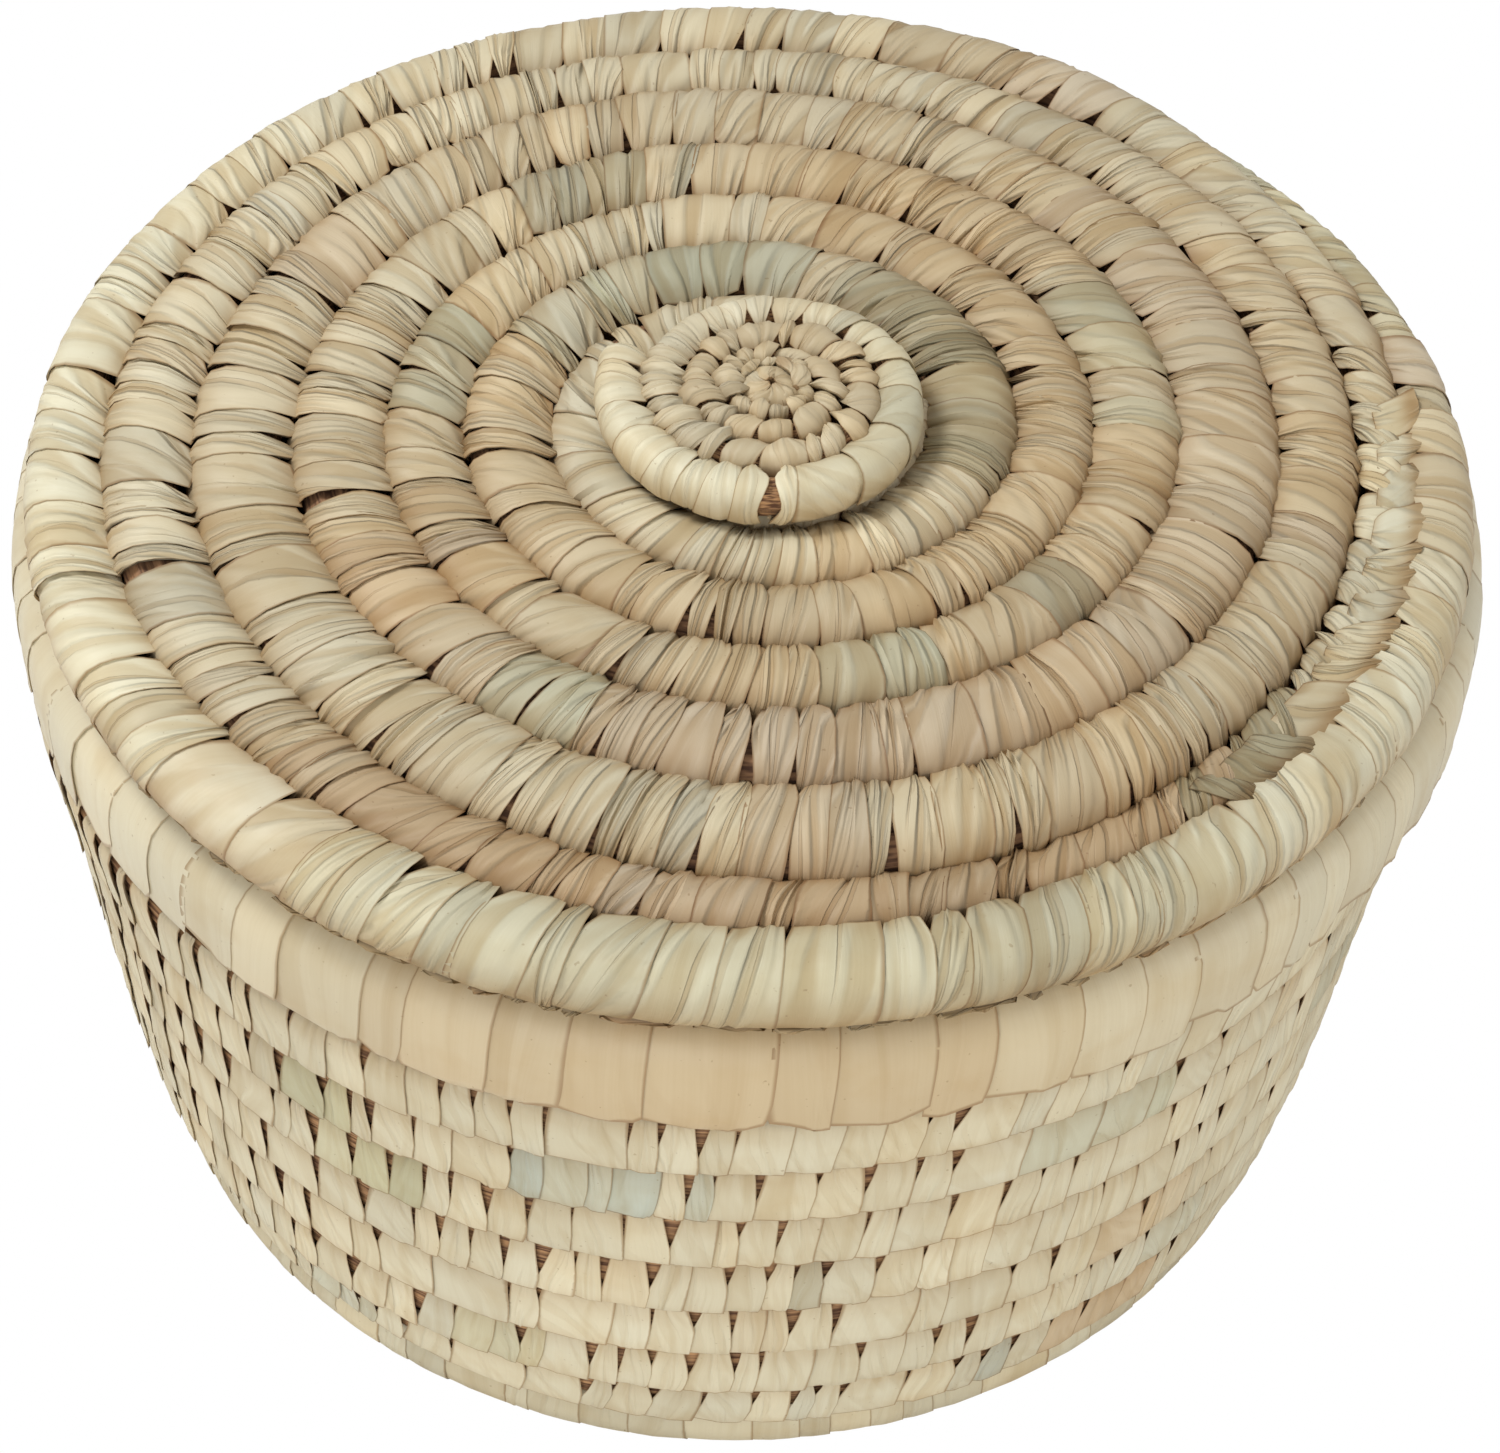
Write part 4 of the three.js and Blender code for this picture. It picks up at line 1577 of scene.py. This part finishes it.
@dataclass
class Lid:
    """The lid: one spiral coil that grew faster on one side, and its locating coil below.

    changes lists how much wider or narrower than the mean each turn is. crossed gives the turns
    between which the strips cross each other, and upper_short how much sooner the upper row ends.
    """

    centre: Place = LID_CENTRE
    radius: float = 0.2
    eye: float = 0.009
    coil_width: float = 0.022
    tail_width: float = 0.018
    crown: float = 0.003
    thickness: float = 0.024
    slow_angle: float = 135.0
    swing: float = 0.95
    lean: Place = (0.0, 0.0024)
    changes: tuple[float, ...] = (-0.0007, -0.0012, 0.0027, 0.0, 0.0020, 0.0061, 0.0054, -0.0143)
    bends: tuple[tuple[float, float, float], ...] = ((7.98, 0.11, -0.006), (8.5, 0.14, 0.003))
    crossed: tuple[float, float] = (7.87, 8.07)
    upper_short: float = 0.05
    locating_thickness: float = 0.016
    # UMBER from turn 7.64 to 7.86 is partly the ring's own browner leaf and partly painted shade of the deep
    # valley inside the rim turn; PALE from 8.87 to 8.93 is partly paler leaf and partly painted light on that
    # side of the rim turn, which the lamps light less.
    tones: Tones = Tones(((0, Leaf.SHELL), (2.8, Leaf.SHELL), (3.4, Leaf.STRAW), (4.15, Leaf.TAN),
                          (4.3, Leaf.CREAM), (4.6, Leaf.STRAW), (5.15, Leaf.TAN), (5.4, Leaf.CREAM),
                          (5.6, Leaf.STRAW), (5.75, Leaf.PINK), (6.1, Leaf.STRAW), (6.7, Leaf.CREAM),
                          (7.0, Leaf.STRAW), (7.25, Leaf.CREAM), (7.5, Leaf.SHELL), (7.6, Leaf.CREAM),
                          (7.64, Leaf.UMBER), (7.86, Leaf.UMBER), (7.9, Leaf.CREAM), (8.0, Leaf.PALE),
                          (8.1, Leaf.CREAM), (8.3, Leaf.CREAM), (8.42, Leaf.PALE), (8.6, Leaf.PALE),
                          (8.68, Leaf.LIME), (8.83, Leaf.LIME), (8.87, Leaf.PALE), (8.93, Leaf.PALE),
                          (8.98, Leaf.STRAW), (9.06, Leaf.LIME)),
                         patches=((2.93, 3.17, Leaf.OLIVE), (3.18, 3.42, Leaf.SAGE), (4.41, 4.50, Leaf.SAGE),
                                  (4.54, 4.66, Leaf.TAN), (4.77, 4.82, Leaf.SAGE), (4.86, 4.91, Leaf.GREY),
                                  (4.97, 5.05, Leaf.SAGE), (5.28, 5.34, Leaf.GREY), (5.56, 5.63, Leaf.AMBER),
                                  (5.64, 5.69, Leaf.SAGE), (7.865, 7.9, Leaf.OLIVE),
                                  (7.69, 7.71, Leaf.AMBER)),
                         odd=(Leaf.TAN, Leaf.CREAM, Leaf.PINK), odd_chance=0.08)
    tears: tuple[Tear, ...] = (Tear(5.755, 2.0 * MM), Tear(7.56, 1.6 * MM), Tear(5.55, 1.4 * MM),
                               Tear(5.68, 1.0 * MM), Tear(4.05, 1.2 * MM))

    def coil(self) -> Coil:
        """The lid's coil, hung from the top of its node.

        Returns:
            The coil, in the frame of the part.
        """
        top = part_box("lid_coil")[1].z
        level = top - self.crown - self.thickness / 2
        seam = SpiralSeam(self.eye, self.radius, self.coil_width, self.tail_width, changes=self.changes,
                          slow_angle=self.slow_angle, swing=self.swing, bends=self.bends, level=level,
                          crown=self.crown)
        return Coil(seam, START, seam.last, start_angle=0, thickness=self.thickness, tip_share=0.0,
                    full_width=self.thickness, centre=self.centre, inset=0.0004, lean=self.lean)

    def build(self, finishes: Finishes, rng: np.random.Generator) -> None:
        """Makes the wraps of the rings, of the rim and of the underside, the core and the locating coil.

        Args:
            finishes: the materials.
            rng: the source of chance.
        """
        coil = self.coil()
        rings = Wrap(RING_TOP, width=11 * MM, spread=0.42, rows=12, lead=7 * MM, lead_spread=2.2 * MM,
                     first_end=End(chance=0.75, least=1.2 * MM, most=4.8 * MM, reach=0.58, pointed=0.6,
                                   arc=0.0, cut=0.0),
                     last_end=End(chance=0.7, least=0.5 * MM, most=2.3 * MM, reach=0.28, pointed=0.9,
                                  arc=0.07, cut=0.02),
                     look=StripLook(fold=1.6 * MM, puff=1.0 * MM, creases=3, calm=0.15), tears=self.tears)
        edge = replace(rings, path=LID_EDGE, width=15 * MM, spread=0.3, rows=15, lead=9 * MM, tears=(),
                       first_end=End(chance=0.0),
                       last_end=End(chance=0.8, least=0.6 * MM, most=3.2 * MM, reach=0.24, pointed=0.9,
                                    arc=0.04, cut=0.015),
                       look=StripLook(arch=0.2 * MM, fold=1.0 * MM, creases=3, calm=0.25, from_first=0.06))
        under = replace(rings, path=RING_UNDER, rows=6, tears=(), look=StripLook(creases=2))
        stages = np.array([coil.first, 5, 7, self.crossed[0]])
        for k, (start, end) in enumerate(zip(stages[:-1], stages[1:])):
            strips = Sheaf()
            wrap_coil(strips, coil, rings, self.tones, rng, start, end)
            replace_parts(strips.object(f"lid_wrap_{k + 1}", finishes.lid, "lid", "leaf_lid"), "lid_coil")
        outer, lining, core = Sheaf(), Sheaf(), Sheaf()
        self.cross_strips(outer, coil, rings, rng)
        wrap_coil(outer, coil, edge, self.tones, rng, self.crossed[1], coil.last)
        wrap_coil(lining, coil, under, self.tones, rng)
        core_tube(core, coil, rng)
        outer.object("lid_rim_wrap", finishes.lid, "lid", "leaf_lid")
        lining.object("lid_lining", finishes.lid, "lid", "leaf_lid")
        # The lid's core takes the darker fibre, painted shade for the valleys between the rings.
        core.object("lid_core", finishes.deep, "lid", "core_fibre")
        self.build_locating_coil(finishes, rng)

    def cross_strips(self, sheaf: Sheaf, coil: Coil, rings: Wrap, rng: np.random.Generator) -> None:
        """Adds the stretch where the coil runs into the rim and its strips cross like a herringbone.

        Args:
            sheaf: where the strips go.
            coil: the lid's coil.
            rings: how the rings beside it are wrapped.
            rng: the source of chance.
        """
        leaf_end = End(chance=0.9, least=1.6 * MM, most=4 * MM, reach=0.5, pointed=0.4, arc=0.03, cut=0.0)
        look = StripLook(arch=0.8 * MM, fold=0.9 * MM, creases=3, calm=0.3, twist=0.2, gather=0.6)
        lower = replace(rings, path=CROSSING, width=11 * MM, spread=0.4, lead=9 * MM, lead_spread=2.0 * MM,
                        rows=12, first_end=leaf_end, last_end=leaf_end, look=look, tears=())
        upper = replace(lower, path=CROSSING_OVER, width=12 * MM, lead=-9 * MM)
        for wrap, end in ((lower, self.crossed[1]), (upper, self.crossed[1] - self.upper_short)):
            wrap_coil(sheaf, coil, wrap, self.tones, rng, self.crossed[0], end)

    def build_locating_coil(self, finishes: Finishes, rng: np.random.Generator) -> None:
        """Makes the wrapped coil under the lid.

        Args:
            finishes: the materials.
            rng: the source of chance.
        """
        low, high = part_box("lid_locating_coil")
        thickness = self.locating_thickness
        coil = lapped_coil(low.z, high.z, (high.x - low.x) / 2 - thickness / 2, thickness, full_width=0.007,
                           centre=self.centre)
        strips, core = Sheaf(), Sheaf()
        wrap = Wrap(WHOLE_WRAP, width=14 * MM, rows=12, lead=2 * MM, last_end=End(arc=0.03),
                    look=StripLook(arch=0.15 * MM, puff=0.2 * MM, fold=0.3 * MM, creases=2))
        wrap_coil(strips, coil, wrap, Tones(((0, Leaf.STRAW), (2, Leaf.CREAM))), rng)
        core_tube(core, coil, rng, sides=14)
        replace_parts(strips.object("locating_wrap", finishes.body, "lid", "leaf_body"), "lid_locating_coil")
        core.object("locating_core", finishes.core, "lid", "core_fibre")


@dataclass
class Knob:
    """The knob: a small flat coil wound the other way, its knot, its stalk and the tie below.

    The spiral keeps on growing up to its blunt end, so its middle lies to one side of the stalk.
    smooth gives the turns between which it is wrapped in wide flat strips, and tear is the gap
    beyond them.
    """

    stalk: Place = LID_CENTRE
    centre: Place = (0.0076, -0.0062)
    eye: float = 0.008
    coil_width: float = 0.0104
    reach: float = 0.06
    changes: tuple[float, ...] = (-0.0039, -0.0009, 0.0006, 0.0021, 0.0021)
    end: float = 4.15
    blunt: float = 0.03
    smooth: tuple[float, float] = (3.58, 3.80)
    tear: Tear = Tear(3.834, 2.6 * MM)
    knot_radius: float = 0.0085
    stems: int = 36
    tie_thickness: float = 0.009
    tones: Tones = Tones(((0, Leaf.STRAW), (1.5, Leaf.STRAW), (2.6, Leaf.STRAW), (3.3, Leaf.SHELL),
                          (3.6, Leaf.LIME), (3.7, Leaf.PALE), (3.9, Leaf.PALE), (4.2, Leaf.SHELL)),
                         spread=0.06)

    def coil(self) -> Coil:
        """The knob's coil, at the level of its node.

        Returns:
            The coil, in the frame of the part.
        """
        low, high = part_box("knob_coil")
        seam = SpiralSeam(self.eye, self.reach, self.coil_width, tail_width=0.0, changes=self.changes,
                          level=(low.z + high.z) / 2)
        return Coil(seam, START, self.end, start_angle=210, thickness=high.z - low.z, tip_share=1.0, hand=-1,
                    centre=self.centre, blunt=self.blunt)

    def build(self, finishes: Finishes, rng: np.random.Generator) -> None:
        """Makes the wrapped coil, its core, the knot, the stalk and the tie.

        Args:
            finishes: the materials.
            rng: the source of chance.
        """
        coil = self.coil()
        strips, core, heart = Sheaf(), Sheaf(), Sheaf()
        petal = End(chance=1.0, least=1.8 * MM, most=3.2 * MM, reach=0.62, pointed=0.4, arc=0.04, cut=0.0)
        inner = Wrap(RING_TOP, width=6.6 * MM, spread=0.36, rows=10, lead=-3 * MM, lead_spread=1.1 * MM,
                     wedge=0.9 * MM, bow=0.6 * MM, first_end=petal, overlap=0.6 * MM,
                     last_end=replace(petal, least=0.5 * MM, most=2.2 * MM, reach=0.4, pointed=0.7,
                                      arc=0.1, cut=0.03),
                     look=StripLook(arch=1.1 * MM, puff=0.8 * MM, fold=0.8 * MM, rise=0.5 * MM,
                                    lap=0.2 * MM, creases=3))
        outer = replace(inner, path=RIM_TOP, width=8.5 * MM, spread=0.3, rows=13, lead=-3 * MM,
                        first_end=End(chance=0.0),
                        last_end=End(chance=0.9, least=0.6 * MM, most=2.8 * MM, reach=0.25, pointed=0.7,
                                     arc=0.04, cut=0.02),
                        look=StripLook(arch=0.4 * MM, fold=0.55 * MM, rise=0.2 * MM, creases=3))
        smooth = replace(outer, width=15 * MM, spread=0.12, overlap=1.0 * MM,
                         last_end=End(chance=0.5, most=1.0 * MM, reach=0.12, arc=0.03),
                         look=StripLook(arch=0.2 * MM, fold=0.12 * MM, rise=0.12 * MM, lap=0.3 * MM,
                                        creases=3, calm=0.6))
        torn = replace(outer, tears=(self.tear,))
        under = replace(inner, path=RING_UNDER, rows=6, look=StripLook(creases=2))
        turns = (coil.first, self.end - 1.0, *self.smooth, coil.last)
        for wrap, start, end in zip((inner, outer, smooth, torn), turns[:-1], turns[1:]):
            wrap_coil(strips, coil, wrap, self.tones, rng, start, end)
        wrap_coil(strips, replace(coil, inset=0.0012), under, self.tones, rng)
        core_tube(core, coil, rng, inset=1.2 * MM, sides=16)
        low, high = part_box("knob_heart")
        knot(heart, self.centre, self.knot_radius, (low.z, high.z), self.tones, rng)
        self.curl(heart, high.z, rng)
        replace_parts(strips.object("knob_wrap", finishes.knob, "lid", "leaf_knob"), "knob_coil")
        core.object("knob_core", finishes.core, "lid", "core_fibre")
        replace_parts(heart.object("knob_knot", finishes.knob, "lid", "leaf_knob"), "knob_heart")
        self.build_stalk(finishes)
        self.build_tie(finishes, rng)

    def curl(self, sheaf: Sheaf, top: float, rng: np.random.Generator) -> None:
        """Lays the short curved end of the last strip over the knot.

        It runs towards the front, swings out to the right and back along a sine, and arches over the
        knot along half a sine. Its width is even, and rounds off at both ends.

        Args:
            sheaf: where it goes.
            top: the level of the knot's top.
            rng: the source of chance.
        """
        t = np.linspace(0, 1, 9)
        line = np.stack([self.centre[0] + 0.001 + 0.007 * np.sin(2.2 * t), self.centre[1] + 0.010 - 0.012 * t,
                         top - 0.0008 + 0.0016 * np.sin(np.pi * t)], -1)
        half = 0.0030 * np.sqrt(np.clip(1 - (2 * t - 1) ** 4, 0.08, 1))
        look = StripLook(arch=1.3 * MM, fold=0.3 * MM, rise=0.0, creases=3)
        ribbon(sheaf, line, np.tile([0.15, 0.0, 1.0], (9, 1)), half, look, Leaf.STRAW.light, rng)

    def build_stalk(self, finishes: Finishes) -> None:
        """Makes the stalk as a ridged bundle, wide below and necked where it enters the knob.

        Args:
            finishes: the materials.
        """
        low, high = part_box("knob_stalk")
        angle = np.linspace(0, 2 * np.pi, self.stems, endpoint=False)
        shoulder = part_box("knob_coil")[0].z - GAP
        profile = np.array([(0.5, low.z), (1.0, low.z + 0.0008), (1.0, shoulder - 0.001), (0.88, shoulder),
                            (0.88, high.z - 0.001), (0.5, high.z)])
        ridge = 1 - 0.04 * (np.arange(self.stems) % 2)
        rings = turned_rings(self.stalk, (high.x - low.x) / 2, profile, angle, ridge)
        place = np.full(rings.shape, 0.5)
        place[..., 0] = angle / (2 * np.pi)
        place[..., 1] = profile[:, 1:]
        sheaf = closed_tube(Sheaf(), rings, place)
        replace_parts(sheaf.object("stalk_bundle", finishes.core, "lid", "core_fibre"), "knob_stalk")

    def build_tie(self, finishes: Finishes, rng: np.random.Generator) -> None:
        """Makes the strip that is tied round the stalk.

        Args:
            finishes: the materials.
            rng: the source of chance.
        """
        low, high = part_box("stalk_tie")
        radius = (high.x - low.x) / 2 - self.tie_thickness / 2
        seam = StackedSeam(low.z, high.z - low.z, climb=0.02, radius=radius)
        coil = Coil(seam, first=0.02, last=1.0, start_angle=0, thickness=self.tie_thickness,
                    full_width=0.004, way=Across.WALL, centre=self.stalk, inset=0.0002)
        strips = Sheaf()
        wrap = Wrap(TIE_WRAP, width=7 * MM, rows=9, lead=0.0, overlap=1.5 * MM,
                    look=StripLook(arch=0.15 * MM, puff=0.1 * MM, fold=0.2 * MM, rise=0.1 * MM, creases=2))
        wrap_coil(strips, coil, wrap, Tones(((0, Leaf.STRAW), (2, Leaf.STRAW))), rng)
        core_tube(strips, coil, rng, inset=1.0 * MM, sides=12, per_turn=32)
        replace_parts(strips.object("tie_wrap", finishes.body, "lid", "leaf_body"), "stalk_tie")


@dataclass(frozen=True)
class Lamp:
    """A square area light that faces the basket from its place."""

    name: str
    place: Point
    side: float
    watts: float
    aim: Point = (0, 0, 0.12)

    def build(self) -> None:
        """Puts the light up."""
        data = bpy.data.lights.new(self.name, "AREA")
        data.size = self.side
        data.energy = self.watts
        obj = bpy.data.objects.new(self.name, data)
        obj.location = self.place
        obj.rotation_euler = (Vector(self.aim) - Vector(self.place)).to_track_quat("-Z", "Y").to_euler()
        bpy.context.scene.collection.objects.link(obj)


@dataclass
class Studio:
    """Floor, lights and the camera that the photograph was taken with."""

    target: Point = (0.0019, -0.0069, 0.2370)
    elevation: float = 46.97
    roll: float = -2.142
    distance: float = 1.0
    slide: Place = (0.003314, -0.07621)
    lens: float = 86.16
    floor_half: float = 4.0
    floor_colour: Colour = (0.82, 0.82, 0.81)
    sky: float = 0.53
    lamps: tuple[Lamp, ...] = (Lamp("key", (-0.9, 0.3, 1.6), side=0.5, watts=14.5),
                               Lamp("fill", (-0.4, -1.7, 0.5), side=1.2, watts=12.5),
                               Lamp("side", (1.7, -0.5, 0.6), side=0.9, watts=6.0))

    def camera(self) -> None:
        """Places the camera: back from the target at its elevation, slid in its own plane, rolled."""
        e, r = math.radians(self.elevation), math.radians(self.roll)
        back = Vector((0, -math.cos(e), math.sin(e)))
        right, up = Vector((1, 0, 0)), Vector((0, math.sin(e), math.cos(e)))
        x = right * math.cos(r) - up * math.sin(r)
        y = right * math.sin(r) + up * math.cos(r)
        where = Vector(self.target) + back * self.distance + right * self.slide[0] + up * self.slide[1]
        data = bpy.data.cameras.new("Camera")
        data.lens = self.lens
        data.sensor_width = 36.0
        data.sensor_fit = "HORIZONTAL"
        camera = bpy.data.objects.new("Camera", data)
        camera.matrix_world = Matrix.Translation(where) @ Matrix((x, y, back)).transposed().to_4x4()
        bpy.context.scene.collection.objects.link(camera)
        bpy.context.scene.camera = camera

    def floor(self) -> None:
        """Lays a pale floor that the camera sees as plain white."""
        far = self.floor_half
        corners = [(-far, -far, 0), (far, -far, 0), (far, far, 0), (-far, far, 0)]
        mesh = bpy.data.meshes.new("floor")
        mesh.from_pydata(corners, [], [(0, 1, 2, 3)])
        material = bpy.data.materials.new("Floor")
        nodes = emptied(material)
        plain = nodes.add("ShaderNodeBsdfDiffuse", Color=(*self.floor_colour, 1.0))
        white = nodes.add("ShaderNodeEmission", Color=WHITE)
        nodes.add("ShaderNodeOutputMaterial", Surface=self.behind(nodes, plain, white))
        mesh.materials.append(material)
        floor = bpy.data.objects.new("floor", mesh)
        bpy.context.scene.collection.objects.link(floor)

    def world(self) -> None:
        """Fills the sky with soft light that the camera sees as plain white."""
        world = bpy.data.worlds.new("World")
        nodes = emptied(world)
        lit = nodes.add("ShaderNodeBackground", Color=WHITE, Strength=self.sky)
        white = nodes.add("ShaderNodeBackground", Color=WHITE, Strength=1.0)
        nodes.add("ShaderNodeOutputWorld", Surface=self.behind(nodes, lit, white))
        bpy.context.scene.world = world

    def behind(self, nodes: Nodes, lit: bpy.types.Node, white: bpy.types.Node) -> bpy.types.NodeSocket:
        """What lights the basket, with plain white in its place where the camera looks at it.

        Args:
            nodes: the helper for the tree.
            lit: the shader that lights the basket.
            white: the shader that the camera sees.

        Returns:
            The mixed shader's socket.
        """
        seen = nodes.add("ShaderNodeLightPath").outputs["Is Camera Ray"]
        return nodes.add("ShaderNodeMixShader", i0=seen, i1=lit.outputs[0], i2=white.outputs[0]).outputs[0]

    def build(self) -> None:
        """Sets up the view, the world, the floor and the lights."""
        bpy.context.scene.view_settings.view_transform = "Standard"
        self.camera()
        self.world()
        self.floor()
        for lamp in self.lamps:
            lamp.build()


def main() -> None:
    """Builds the studio and every sub-assembly of the basket, in the order of their making."""
    logging.basicConfig(level=logging.INFO, format="%(name)s %(message)s")
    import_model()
    rng = np.random.default_rng(SEED)
    finishes = Finishes.make()
    Studio().build()
    for part in (BasketBase(), BasketWall(), BasketRim(), Lid(), Knob()):
        part.build(finishes, rng)
        LOG.info("%s is done", type(part).__name__)


if __name__ == "__main__":
    main()
